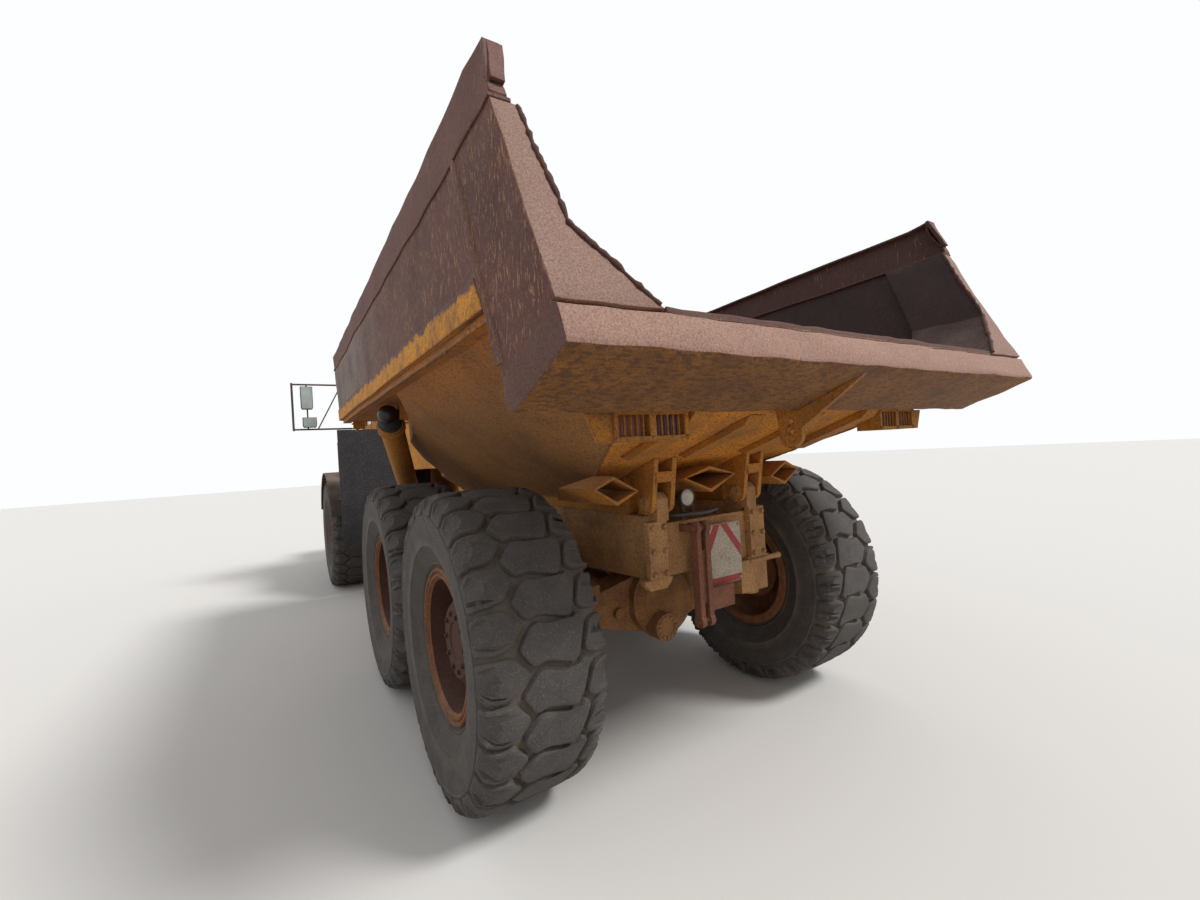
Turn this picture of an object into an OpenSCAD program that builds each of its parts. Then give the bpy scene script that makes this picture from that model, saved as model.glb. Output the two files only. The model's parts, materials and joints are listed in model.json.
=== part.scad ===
// Articulated dump truck: a six-wheel site hauler with a tilting body.
// X points forward, Y to the left, Z up. The origin is on the ground,
// under the middle of the whole machine. All sizes are in millimetres.
// Most X places are counted forward from the rearmost axle by the function at().

/* [Layout] */
// Distance from the front axle to the forward rear axle
wheelbase = 4175; // [4000:5:4500]
// Distance between the two rear axles
bogie_gap = 1670; // [1640:5:1800]
// Distance between the middles of a left and a right tyre
track = 2210; // [2160:5:2300]
// Reach of the bumper ahead of the front axle
front_overhang = 2764; // [2700:2:2900]
// Distance from the front axle back to the steering pivot
hitch_back = 1400; // [1350:5:1450]

/* [Wheels] */
// Radius of a tyre to the tips of its lugs, also the hub height
tyre_r = 780; // [760:1:800]
// Width of a tyre across its side walls
tyre_w = 600; // [560:2:640]
// Radius of the rim's flange
rim_r = 392; // [370:1:410]
// Width of the rim between its outer faces
rim_w = 470; // [440:2:500]
// Radius of the axle stub that carries a wheel
stub_r = 90; // [70:1:110]

/* [Dump body] */
// Half of the width over the side plates
body_half = 1442; // [1400:1:1480]
// Thickness of the hollow side wall
side_wall = 46; // [36:1:60]
// Thickness of the hull plates
hull_wall = 20; // [14:1:30]
// Height of the hull's flat bottom
hull_low = 1450; // [1440:5:1480]
// Height of the seam between the hull and the upright side
side_low = 2200; // [2150:5:2250]
// Height of the seam between the side and its top board, at the tail
side_high = 2770; // [2700:5:2800]
// How far that seam drops towards the front
side_drop = 25; // [0:1:60]
// Height of the top board at the tail
board_tail = 222; // [150:1:260]
// Height of the top board at the front
board_nose = 160; // [120:1:220]
// Half of the width of the hull's flat bottom
hull_half = 450; // [430:5:500]
// Reach of the lip behind the rearmost axle
tail_reach = 1637; // [1600:1:1700]

/* [Body hinge] */
// Distance of the hinge pin behind the rearmost axle
hinge_back = 550; // [500:5:600]
// Height of the hinge pin
hinge_z = 1440; // [1430:1:1450]
// Distance of each hinge from the middle
hinge_y = 340; // [320:2:360]
// Radius of the hinge pin
hinge_pin_r = 32; // [28:1:38]

/* [Frames] */
// Distance of a frame beam's outer face from the middle
beam_out = 420; // [400:2:440]
// Width of a frame beam
beam_w = 110; // [90:2:130]
// Height of the rear frame's underside
beam_low = 1040; // [1020:2:1060]
// Height of the rear frame's top
beam_high = 1370; // [1340:2:1380]
// Radius of the turning sleeve behind the steering pivot
sleeve_r = 170; // [150:1:190]
// Radius of the steering pins
steer_pin_r = 60; // [50:1:70]

/* [Cylinders] */
// Outer radius of a hoist barrel
hoist_r = 88; // [80:1:95]
// Radius of a hoist rod
hoist_rod_r = 55; // [45:1:60]
// Outer radius of a steering barrel
steer_r = 52; // [45:1:60]
// Radius of a steering rod
steer_rod_r = 30; // [25:1:35]

/* [Cab] */
// Half of the cab's width
cab_half = 780; // [740:5:820]
// Height of the cab's floor
cab_floor = 1640; // [1620:5:1700]
// Height of the cab's roof
cab_roof = 3380; // [3330:5:3420]
// Thickness of the cab's walls and of its door
cab_wall = 50; // [40:1:60]

/* [Hidden] */
$fn = 64;
// Radial gap of a pin or shaft in its bore, and side gap of an ear
fit = 0.05;
side_gap = 6;
// Gap between a piece and the seat it is bolted to
seat = 0.3;

// Axle lines, counted so that the machine's middle is at X = 0
rear_x = (tail_reach - bogie_gap - wheelbase - front_overhang) / 2;
mid_x = rear_x + bogie_gap;
front_x = mid_x + wheelbase;
hub_z = tyre_r;

paint = [0.82, 0.53, 0.13];
rust = [0.42, 0.27, 0.22];
dark = [0.12, 0.12, 0.13];
steel = [0.55, 0.53, 0.50];
rubber = [0.22, 0.21, 0.20];

// A place counted forward from the rearmost axle
function at(x) = rear_x + x;

// A plate or block drawn in side view, points [x from the rearmost axle, z]
module side_prism(points, y0, y1) {
    translate([rear_x, y1, 0]) rotate([90, 0, 0]) linear_extrude(y1 - y0) polygon(points);
}

// A block drawn in rear view, points [y, z], from x0 to x1 ahead of the rearmost axle
module rear_prism(points, x0, x1) {
    translate([at(x0), 0, 0]) rotate([90, 0, 90]) linear_extrude(x1 - x0) polygon(points);
}

// A box between two corners, X counted from the rearmost axle
module box(a, b) {
    translate([at(a[0]), a[1], a[2]]) cube([b[0] - a[0], b[1] - a[1], b[2] - a[2]]);
}

// A round bar between two points, X counted from the rearmost axle
module bar(a, b, r, bore = 0) {
    d = b - a;
    turn = [0, acos(d[2] / norm(d)), atan2(d[1], d[0])];
    translate([at(a[0]), a[1], a[2]]) rotate(turn) difference() {
        cylinder(r = r, h = norm(d));
        if (bore > 0) translate([0, 0, -1]) cylinder(r = bore, h = norm(d) + 2);
    }
}

module both_sides() {
    children();
    mirror([0, 1, 0]) children();
}

// Wheels. A tyre is built of rings of points round its axle, in a row from the left bead
// over the tread to the right bead: [radius, distance from the middle, groove depth, lag].
// A plain ring has one point for each pitch. A ring with grooves has three, for the groove's
// bottom and the two edges of the lug. The lag, in pitches, bends the grooves into a chevron.
bead_y = rim_w / 2 - 22 - seat;
pitches = 26;
// A ring's flat sides lie this much nearer the axle than its points
flat = cos(180 / pitches);
bead_r = (rim_r - 22 + seat) / flat;
tyre_rings = [
    [bead_r, -bead_y, 0, 0], [rim_r + 12, -bead_y, 0, 0], [rim_r + 50, -tyre_w * 0.43, 0, 0],
    [tyre_r * 0.80, -tyre_w / 2, 0, 0], [tyre_r * 0.915, -tyre_w * 0.485, 0, 0],
    [tyre_r - 12, -tyre_w * 0.39, 28, 0], [tyre_r, 0, 24, 0.4], [tyre_r - 12, tyre_w * 0.39, 28, 0],
    [tyre_r * 0.915, tyre_w * 0.485, 0, 0], [tyre_r * 0.80, tyre_w / 2, 0, 0],
    [rim_r + 50, tyre_w * 0.43, 0, 0], [rim_r + 12, bead_y, 0, 0], [bead_r, bead_y, 0, 0]
];
ring_count = len(tyre_rings);
// Places of the groove and of the lug's edges within a pitch
lug_edges = [0, 0.15, 0.85];
function ring_n(i) = tyre_rings[i][2] > 0 ? 3 * pitches : pitches;
function ring_start(i) = i == 0 ? 0 : ring_start(i - 1) + ring_n(i - 1);
function ring_turn(ring, k) = ring[2] > 0
    ? (floor(k / 3) + lug_edges[k % 3] + ring[3]) * 360 / pitches : k * 360 / pitches;
function ring_r(ring, k) = ring[2] > 0 && k % 3 == 0 ? ring[0] - ring[2] : ring[0];
// Number of a point in the list, k counted round the ring
function at_ring(i, k) = ring_start(i) + k % ring_n(i);
tyre_points = [for (i = [0:ring_count - 1]) for (k = [0:ring_n(i) - 1])
    let (ring = tyre_rings[i], turn = ring_turn(ring, k), r = ring_r(ring, k))
    [r * cos(turn), r * sin(turn), ring[1]]];
// Faces between two rings with the same number of points
function even_faces(i, j) = [for (k = [0:ring_n(i) - 1]) each [
    [at_ring(i, k), at_ring(j, k + 1), at_ring(i, k + 1)],
    [at_ring(i, k), at_ring(j, k), at_ring(j, k + 1)]]];
// Faces from a plain ring to a grooved one, and back
function out_faces(i, j) = [for (k = [0:pitches - 1]) each [
    [at_ring(i, k), at_ring(j, 3 * k), at_ring(j, 3 * k + 1)],
    [at_ring(i, k), at_ring(j, 3 * k + 1), at_ring(i, k + 1)],
    [at_ring(i, k + 1), at_ring(j, 3 * k + 1), at_ring(j, 3 * k + 2)],
    [at_ring(i, k + 1), at_ring(j, 3 * k + 2), at_ring(j, 3 * k + 3)]]];
function in_faces(i, j) = [for (k = [0:pitches - 1]) each [
    [at_ring(i, 3 * k), at_ring(j, k), at_ring(i, 3 * k + 1)],
    [at_ring(i, 3 * k + 1), at_ring(j, k), at_ring(j, k + 1)],
    [at_ring(i, 3 * k + 1), at_ring(j, k + 1), at_ring(i, 3 * k + 2)],
    [at_ring(i, 3 * k + 2), at_ring(j, k + 1), at_ring(i, 3 * k + 3)]]];
tyre_faces = [for (i = [0:ring_count - 1]) let (j = (i + 1) % ring_count) each
    ring_n(i) == ring_n(j) ? even_faces(i, j)
        : ring_n(i) < ring_n(j) ? out_faces(i, j) : in_faces(i, j)];

module at_wheel(x, side) {
    translate([x, side * track / 2, hub_z]) rotate([90, 0, 0]) scale([1, 1, -side]) children();
}

module tyre(x, side) {
    color(rubber) at_wheel(x, side) polyhedron(tyre_points, tyre_faces);
}

// Rim with its deep disc and hub, the hub's bore runs on the axle stub
hub_r = 215;
disc_in = 40;
rim_profile = [
    [stub_r + fit, -120], [hub_r, -120], [hub_r, disc_in - 60], [rim_r - 60, disc_in - 60],
    [rim_r - 60, -rim_w / 2], [rim_r, -rim_w / 2], [rim_r, -rim_w / 2 + 22],
    [rim_r - 22, -rim_w / 2 + 22], [rim_r - 22, rim_w / 2 - 22], [rim_r, rim_w / 2 - 22],
    [rim_r, rim_w / 2], [rim_r - 60, rim_w / 2], [rim_r - 60, disc_in - 30],
    [hub_r + 20, disc_in - 30], [hub_r, disc_in], [hub_r, 150], [hub_r - 35, 175], [0, 175],
    [0, 120], [stub_r + fit, 120]
];

module rim(x, side) {
    color(paint * 0.8) at_wheel(x, side) rotate_extrude($fn = 64) polygon(rim_profile);
}

// Dump body, outlines in side view
// Points of the tail: end of the flat bottom, lip corners
chute_foot = [0, hull_low];
chute_top = [-1240, 1872];
lip_seam = [-1240, 1955];
lip_edge = [-tail_reach + 58, 2103];
lip_low = [-tail_reach, 1975];
lip_heel = [-1290, 1845];
// Points of the slanting front wall
front_foot = [2400, hull_low];
front_bend = [2950, side_low];
front_top = [3390, side_high - side_drop + board_nose - 20];
front_t = 25;
wall_nose = [3050, side_low];
seam_front = [3340, side_high - side_drop];
seam_tail = [-1271, side_high];
function seam_z(x) = side_high - side_drop * (x - seam_tail[0]) / (seam_front[0] - seam_tail[0]);
post_top_front = [-922, seam_z(-922)];
post_top_rear = [-1268, seam_z(-1268)];
// Place on a line between two points [x, z], by its height
function line_x(a, b, z) = a[0] + (z - a[1]) * (b[0] - a[0]) / (b[1] - a[1]);
function post_x(z) = line_x(lip_seam, post_top_front, z);
hull_slope = (body_half - 42 - hull_half) / (side_low - hull_low);

// Height of the chute's underside
function chute_z(x) = chute_foot[1]
    + (chute_foot[0] - x) * (chute_top[1] - chute_foot[1]) / (chute_foot[0] - chute_top[0]);
// Top of what is seated under the chute
function rib_z(x) = chute_z(x) - seat;
// Half of the hull's outer width at height z
function hull_y(z) = hull_half + (z - hull_low) * hull_slope;
skin_y = hull_wall * sqrt(1 + hull_slope * hull_slope);

module hull_outer() {
    intersection() {
        side_prism([chute_foot, front_foot, front_bend, [post_x(side_low) + seat, side_low],
            lip_seam + [seat, 0], chute_top], -body_half, body_half);
        rear_prism([[-hull_half, hull_low], [hull_half, hull_low], [hull_y(side_low), side_low],
            [-hull_y(side_low), side_low]], -1300, 3100);
    }
}

// The load space: the floor's upper side, the front wall and the chute
floor_z = hull_low + hull_wall;
open_z = side_low + 22;
module hull_inner() {
    intersection() {
        side_prism([chute_foot + [-10, hull_wall],
            [line_x(front_foot, front_bend, floor_z) - front_t, floor_z],
            [line_x(front_foot, front_bend, open_z) - front_t, open_z], [-1400, open_z],
            [-1400, lip_seam[1] + 70], lip_seam], -body_half, body_half);
        rear_prism([[-hull_half + 5, floor_z], [hull_half - 5, floor_z],
            [hull_y(open_z) - skin_y, open_z], [-hull_y(open_z) + skin_y, open_z]], -1450, 3100);
    }
}

// Pockets in the hull's flanks that give the hoist cylinders room, outline in plan [x, y]
pocket_top = side_low - hull_wall;
pocket_line = [[640, 1385], [1000, 1250], [1300, 1120], [1900, 1030], [2214, 845], [2330, 618],
    [3120, 600]];
module pockets(grow, top) {
    shifted = [for (p = pocket_line) p - [grow, grow]];
    both_sides() translate([rear_x, 0, hull_low - 10]) linear_extrude(top - hull_low + 10)
        polygon(concat(shifted, [[3120, body_half + 20], [640 - grow, body_half + 20]]));
}

module body_floor() {
    color(paint * 0.85) {
        difference() {
            hull_outer();
            difference() {
                hull_inner();
                pockets(hull_wall, side_low);
            }
            pockets(0, pocket_top);
        }
        // rail under the side wall
        both_sides() rear_prism([[hull_y(side_low - 34), side_low - 34], [body_half - 17, side_low - 34],
            [body_half - 17, side_low], [hull_y(side_low) - 5, side_low]], -1100, 2940);
    }
}

side_in = body_half - side_wall;
// Raised strips and bands on the outside of the walls
strip_w = 34;
strip_t = 9;
band_h = 115;
module body_side() {
    // upright wall, its foot let into the tail post
    side_prism([post_top_front, seam_front, wall_nose, [post_x(side_low) - strip_w, side_low]],
        side_in, body_half);
    // turned-in foot of the wall, over the hull's edge
    side_prism([[-1100, side_low + seat], [front_bend[0] - front_t - 1, side_low + seat],
        [front_bend[0] - front_t - 1, side_low + 16], [-1100, side_low + 16]],
        hull_y(side_low) - skin_y, side_in + 1);
    // tail post: a box section that closes the corner over the lip
    intersection() {
        side_prism([post_top_front, lip_seam, lip_edge, post_top_rear], 800, body_half);
        rear_prism([[body_half, side_high + 5], [side_in - 41, side_high + 5], [1320, 2345],
            [1125, 2134], [900, 1890], [body_half, 1890]], -1700, -800);
    }
    // raised strip along the post's front edge
    side_prism([post_top_front, post_top_front + [strip_w, 0], lip_seam + [strip_w, 40],
        lip_seam + [0, 40]], body_half - 1, body_half + strip_t);
}

module body_sides() {
    color(rust) both_sides() body_side();
}

// Band along the wall's foot
module side_bands() {
    color(paint) both_sides() {
        side_prism([[post_x(side_low) + strip_w + 3, side_low], wall_nose,
            [line_x(wall_nose, seam_front, side_low + band_h), side_low + band_h],
            [post_x(side_low + band_h) + strip_w + 3, side_low + band_h]],
            body_half + seat, body_half + strip_t);
    }
}

board_t = 12;
board_rear = [-1210, side_high + board_tail];
board_front = [3390, side_high - side_drop + board_nose];
module side_board() {
    low_tail = seam_tail + [0, seat];
    low_front = seam_front + [0, seat];
    flange_x = seam_front[0] - 80;
    // outer plate
    side_prism([low_tail, low_front, board_front, board_rear], body_half - board_t, body_half);
    // top return and foot flange, turned inwards
    side_prism([board_rear, board_front, board_front - [0, board_t], board_rear - [0, board_t]],
        side_in, body_half - board_t);
    side_prism([low_tail, [flange_x, seam_z(flange_x) + seat],
        [flange_x, seam_z(flange_x) + seat + board_t], low_tail + [0, board_t]],
        side_in - 20, body_half - board_t);
    // bead along the seam, and the turned end at the tail
    side_prism([low_tail, low_front, low_front + [8, 20], low_tail + [6, 20]],
        body_half - 1, body_half + 7);
    side_prism([low_tail + [0, 60], low_tail + [20, 60], board_rear + [20, -1], board_rear + [0, -1]],
        side_in - 10, body_half - board_t + 1);
}

module side_boards() {
    color(rust * 0.9) both_sides() side_board();
}

// Front wall with stiffening ribs on its outside, [height, depth]
wall_ribs = [[2290, 45], [2540, 45], [2790, 45]];
function wall_x(z) = line_x(front_bend, front_top, z);
module body_front() {
    color(rust * 1.1) {
        side_prism([front_bend - [front_t, 0], front_bend, front_top, front_top - [front_t, 0]],
            -side_in + seat, side_in - seat);
        for (rib = wall_ribs) side_prism([[wall_x(rib[0]) - 5, rib[0]], [wall_x(rib[0]) + rib[1], rib[0]],
            [wall_x(rib[0]) + rib[1] + 20, rib[0] + 60], [wall_x(rib[0] + 60) - 5, rib[0] + 60]],
            -side_in + 60, side_in - 60);
    }
}

// Lip: its lower edge is rounded by small steps, and a wear bar lies on its rear edge
lip_round = 16;
module tail_lip() {
    out = lip_low - lip_edge;
    up = (lip_edge - lip_low) / norm(out);
    back = (lip_heel - lip_low) / norm(lip_heel - lip_low);
    top = (lip_seam - lip_edge) / norm(lip_seam - lip_edge);
    color(rust * 1.15) {
        side_prism([lip_seam - [0, seat], lip_edge + top * lip_round - [0, seat],
            lip_edge - up * lip_round,
            lip_low + up * lip_round, lip_low + (up + back) * lip_round * 0.3,
            lip_low + back * lip_round, lip_heel, chute_top], -body_half, body_half);
        side_prism([lip_edge + top * 10 - [0, 2], lip_edge + top * 45 - [0, 2],
            lip_edge + top * 42 + [0, 20], lip_edge + top * 14 + [0, 20]], -1080, 1080);
    }
}

// Bearer rails under the floor, tail ribs and hinge ears
ear_t = 30;
knuckle_w = 80;
rail_y = [330, 420];
rail_low = beam_high + 0.3;
rail_x = [-380, 2340];
eye_x = 1330;
eye_y = body_half - 142;
eye_z = 2090;
ear_r = 62;
module hinge_ear(y) {
    difference() {
        union() {
            translate([at(-hinge_back), y, hinge_z]) rotate([-90, 0, 0]) cylinder(r = ear_r, h = ear_t);
            side_prism([[-hinge_back - ear_r, hinge_z], [-hinge_back + ear_r, hinge_z],
                [-hinge_back + 130, rib_z(-hinge_back + 130)],
                [-hinge_back - ear_r - 40, rib_z(-hinge_back - ear_r - 40)]], y, y + ear_t);
        }
        translate([at(-hinge_back), y - 1, hinge_z]) rotate([-90, 0, 0])
            cylinder(r = hinge_pin_r + fit, h = ear_t + 2);
    }
}

// Folded channel beside the ears, a diamond in rear view, points [y, z], open to the rear
fold_x = -620;
fold_t = 11;
outer_fold = [[769, 1542], [651, 1599], [500, 1513], [632, 1452]];
inner_fold = [[200, 1552], [0, 1608], [-200, 1552], [0, 1462]];
module fold(outline) {
    middle = (outline[0] + outline[1] + outline[2] + outline[3]) / 4;
    inside = [for (p = outline) p + (middle - p) / norm(middle - p) * fold_t * 1.8];
    intersection() {
        difference() {
            rear_prism(outline, fold_x, 0);
            rear_prism(inside, fold_x - 1, -60);
        }
        side_prism([[fold_x, hull_low - 30], [fold_x, chute_z(fold_x)], chute_foot, [0, hull_low - 30]],
            -body_half, body_half);
    }
}

// Rib along the chute, from x0 back to x1, with sloped ends
module chute_rib(y0, y1, x0, x1, h) {
    side_prism([[x0, rib_z(x0)], [x0 - h * 1.5, chute_z(x0 - h * 1.5) - h],
        [x1 + h * 1.5, chute_z(x1 + h * 1.5) - h], [x1, rib_z(x1)]], y0, y1);
}

module body_ribs() {
    color(paint) {
        both_sides() {
            // bearer rail, which follows the chute at its rear end
            side_prism([[rail_x[0], rail_low], [rail_x[1], rail_low], [rail_x[1], hull_low], chute_foot,
                [rail_x[0], chute_z(rail_x[0])]], rail_y[0], rail_y[1]);
            // hinge ears each side of the knuckle, and the cross bar between them
            for (y = [hinge_y - knuckle_w / 2 - side_gap - ear_t, hinge_y + knuckle_w / 2 + side_gap])
                hinge_ear(y);
            box([-640, hinge_y - 60, 1545], [-615, hinge_y + 60, 1600]);
            fold(outer_fold);
            chute_rib(545, 655, -700, -1235, 36);
            chute_rib(170, 270, -670, -1160, 30);
            hoist_lug();
        }
        fold(inner_fold);
        lifting_eye();
        both_sides() corner_bracket();
    }
}

// Lug in the pocket, inboard of the hoist rod's ball, which its pin meets
lug_y = [eye_y - 97, eye_y - 74];
module hoist_lug() {
    side_prism([[eye_x - 70, pocket_top], [eye_x + 66, pocket_top], [eye_x + 34, eye_z - 36],
        [eye_x - 40, eye_z - 36]], lug_y[0], lug_y[1]);
}

// Lifting eye under the lip
eye_foot = [-1250, 1746];
module lifting_eye() {
    y = 108;
    t = 25;
    difference() {
        union() {
            translate([at(eye_foot[0]), y, eye_foot[1]]) rotate([-90, 0, 0]) cylinder(r = 58, h = t);
            side_prism([eye_foot + [-52, 20], [-1600, 1961], lip_heel, chute_top,
                [-1180, chute_z(-1180)], eye_foot + [56, 14]], y, y + t);
        }
        for (z = [0, 34]) translate([at(eye_foot[0]), y - 1, eye_foot[1] + 14 + z]) rotate([-90, 0, 0])
            cylinder(r = 19, h = t + 2);
    }
}

// Bracket with an upright pin under the body's front corner
module corner_bracket() {
    for (z = [side_low - 95, side_low - 50]) box([2860, 1240, z], [2990, 1345, z + 12]);
    box([2860, 1240, side_low - 95], [2876, 1345, pocket_top]);
    bar([2940, 1300, side_low - 120], [2940, 1300, pocket_top], 16);
}

// Tail lamp guards: two windows with bars each, and the lenses behind the bars
lamp_y = [680, 1028];
lamp_low = 1748;
lamp_face = -1205;
lamp_deep = 130;
window_y = [lamp_y[0] + 20, lamp_y[0] + 190];
window_w = 140;
window_z = [lamp_low + 18, lamp_low + 96];
bar_w = 6;
lens_in = 28;
module tail_lamps() {
    color(paint) both_sides() {
        difference() {
            side_prism([[lamp_face, lamp_low], [lamp_face + lamp_deep, lamp_low],
                [lamp_face + lamp_deep, chute_z(lamp_face + lamp_deep) - seat],
                [lamp_face, chute_z(lamp_face) - seat]], lamp_y[0], lamp_y[1]);
            for (y = window_y) box([lamp_face - 1, y, window_z[0]],
                [lamp_face + lens_in + 20, y + window_w, window_z[1]]);
        }
        for (y = window_y) for (i = [1:4])
            box([lamp_face + 2, y + window_w * i / 5 - bar_w / 2, window_z[0] - 1],
                [lamp_face + 8, y + window_w * i / 5 + bar_w / 2, window_z[1] + 1]);
        // side plate that closes the guard to the hull's corner
        rear_prism([[lamp_y[1] - 1, lamp_low], [1095, lamp_low], [1136, 1852], [lamp_y[1] - 1, 1852]],
            lamp_face + 12, lamp_face + 24);
    }
}

module tail_lenses() {
    color([0.85, 0.3, 0.1]) both_sides() for (y = window_y)
        box([lamp_face + lens_in, y + seat, window_z[0] + seat],
            [lamp_face + lens_in + 20 - seat, y + window_w - seat, window_z[1] - seat]);
}

// Rear frame
pivot_d = bogie_gap + wheelbase - hitch_back;
sleeve_z = beam_low - 60;
sleeve_len = [200, 600];
foot = [pivot_d - 945, 600, 900];
ball_r = 85;
// The beams step down at beam_step and end at the nose plate
beam_step = pivot_d - 1145;
nose_x0 = pivot_d - 705;
nose_x1 = pivot_d - 545;
module rear_frame() {
    color(paint) {
        difference() {
            union() {
                // main beams, stepped down towards the steering pivot
                both_sides() side_prism([[-540, beam_low], [beam_step, beam_low - 150],
                    [nose_x1, beam_low - 250], [nose_x1, beam_low + 60], [beam_step, beam_high - 120],
                    [2200, beam_high], [-540, beam_high]], beam_out - beam_w, beam_out);
                for (x = [200, 1400, 2500, beam_step])
                    box([x, -beam_out + beam_w - 1, beam_low + 20],
                        [x + 160, beam_out - beam_w + 1, beam_low + 190]);
                // nose plate and the ring that carries the turning sleeve
                box([nose_x0, -beam_out, beam_low - 250], [nose_x1, beam_out, beam_low + 170]);
                bar([foot[0], 0, sleeve_z], [pivot_d - sleeve_len[0], 0, sleeve_z], sleeve_r + 60);
            }
            bar([beam_step, 0, sleeve_z], [pivot_d, 0, sleeve_z], sleeve_r + fit);
        }
        both_sides() hoist_socket();
    }
}

// Cheeks that hold the ball at a hoist cylinder's foot
module hoist_socket() {
    difference() {
        box([foot[0] - 75, beam_out, foot[2] - 95], [foot[0] + 95, foot[1] + 130, foot[2] + 45]);
        translate([at(foot[0]), foot[1], foot[2]]) sphere(r = ball_r + 3);
        box([foot[0] - 80, foot[1] - 76, foot[2] - 60], [foot[0] + 60, foot[1] + 76, foot[2] + 50]);
    }
}

// End of the frame: end plates, recessed centre plate, hinge posts, coupling and step
end_plate = [[315, 1045], [440, 1045], [440, 1342], [315, 1342]];
module tail_plate() {
    color(paint * 0.9) {
        box([-560, -beam_out, beam_low], [-540.3, beam_out, beam_high - 50]);
        both_sides() {
            rear_prism(end_plate, -600, -560);
            // flange under the end plate
            rear_prism([[290, 1030], [330, 990], [440, 990], [475, 1030], [475, 1046], [290, 1046]],
                -590, -545);
            side_prism([[-600, beam_high], [-hinge_back - 52, hinge_z + 20],
                [-hinge_back - 20, hinge_z + 50], [-hinge_back + 20, hinge_z + 50],
                [-hinge_back + 52, hinge_z + 20], [-430, beam_high]],
                hinge_y - knuckle_w / 2, hinge_y + knuckle_w / 2);
            box([-600, hinge_y - knuckle_w / 2, 1341], [-540.3, hinge_y + knuckle_w / 2, beam_high + 1]);
            translate([at(-hinge_back), hinge_y - 90, hinge_z]) rotate([-90, 0, 0])
                cylinder(r = hinge_pin_r, h = 180);
        }
        // coupling block under the right end plate, and the round step beside it
        side_prism([[-600, 850], [-545, 840], [-470, 920], [-470, 1035], [-600, 1035]], -440, -215);
        bar([-545, -327, 835], [-545, -327, 870], 60);
        bar([-590, -300, 1022], [-590, -560, 1022], 15);
        translate([at(-590), -560, 1022]) sphere(r = 19);
    }
}

// Round work lamp on a short stalk
lamp_at = [-590, 153, 1446];
module work_lamp() {
    color("white") {
        bar(lamp_at, lamp_at + [44, 0, 0], 50);
        bar(lamp_at + [43, 0, 0], lamp_at + [66, 0, 0], 30);
        bar([-545, lamp_at[1], beam_high - 49.7], [-545, lamp_at[1], lamp_at[2]], 11);
    }
}

// Board with its triangle, drawn as raised stripes, points [y, z]
board_y = [-215, 72];
board_z = [940, 1280];
board_x = -612;
stripes = [
    [[-100, 1276], [-60, 1276], [68, 1112], [68, 1060]],
    [[-40, 1276], [-80, 1276], [-211, 1105], [-211, 1050]],
    [[68, 944], [-211, 944], [-211, 978], [68, 982]]
];
module hazard_board() {
    color("white") {
        box([board_x, board_y[0], board_z[0]], [board_x + 12, board_y[1], board_z[1]]);
        for (stripe = stripes) rear_prism(stripe, board_x - 1, board_x + 1);
        for (y = [board_y[0] + 30, board_y[1] - 50])
            box([board_x + 11, y, board_z[0] + 120], [-560.3, y + 20, board_z[1] - 20]);
    }
}

// Two straps that hang from a pin on the tail plate, with a bore at the foot
tow_x = [-672, -624];
tow_z = [790, 1285];
tow_bore_r = 18;
tow_straps = [85, 148];
strap_t = 32;
module tow_bar() {
    mid = (tow_x[0] + tow_x[1]) / 2;
    color(rust) {
        for (y = tow_straps) difference() {
            union() {
                box([tow_x[0], y, tow_z[0]], [tow_x[1], y + strap_t, tow_z[1]]);
                for (z = tow_z) translate([at(mid), y, z]) rotate([-90, 0, 0])
                    cylinder(r = 34, h = strap_t);
            }
            translate([at(mid), y - 1, tow_z[0]]) rotate([-90, 0, 0])
                cylinder(r = tow_bore_r, h = strap_t + 2);
        }
        // top pin with its blocks on the tail plate, and the plate between the straps
        translate([at(mid), tow_straps[0] - 18, tow_z[1]]) rotate([-90, 0, 0])
            cylinder(r = 16, h = tow_straps[1] - tow_straps[0] + strap_t + 36);
        for (y = [tow_straps[0] + strap_t + 8, tow_straps[1] + strap_t + 6])
            box([mid, y, tow_z[1] - 20], [-560.3, y + 14, tow_z[1] + 20]);
        box([mid - 8, tow_straps[0] + 1, tow_z[0] + 90], [mid + 8, tow_straps[1] + 1, tow_z[1] - 120]);
        // hanging plate beside the straps
        box([mid - 6, -95, 830], [mid + 6, tow_straps[0] + 1, 950]);
    }
}

// Axles: tube, stubs, and a housing that bulges to the rear with a round nose
tube_r = 105;
bulge_r = 238;
nose_at = [80, 640];
module axle(d) {
    translate([at(d), 0, hub_z]) {
        rotate([90, 0, 0]) {
            translate([0, 0, -track / 2 + 130]) cylinder(r = tube_r, h = track - 260);
            translate([0, 0, -track / 2 - 100]) cylinder(r = stub_r, h = track + 200);
        }
        translate([-150, 0, 0]) rotate([0, 90, 0]) cylinder(r = bulge_r, h = 300);
        translate([-195, 0, 0]) rotate([0, 90, 0]) cylinder(r1 = bulge_r - 60, r2 = bulge_r - 12, h = 46);
        translate([149, 0, 0]) rotate([0, 90, 0]) cylinder(r1 = bulge_r - 20, r2 = 90, h = 120);
    }
    // sloping arms, round nose and plug
    both_sides() rear_prism([[60, hub_z - bulge_r + 22], [470, hub_z - tube_r + 6],
        [470, hub_z + tube_r - 6], [60, hub_z + bulge_r - 50]], d - 92, d + 92);
    bar([d - 262, nose_at[0], nose_at[1]], [d - 140, nose_at[0], nose_at[1]], 84);
    bar([d - 128, 325, 745], [d - 60, 325, 745], 32);
}

module front_axle() {
    color(paint * 0.8) {
        axle(front_d());
        // pads under the frame beams
        both_sides() box([front_d() - 70, beam_out - beam_w + 10, hub_z],
            [front_d() + 70, beam_out - 10, arch_z - seat]);
    }
}

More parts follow.
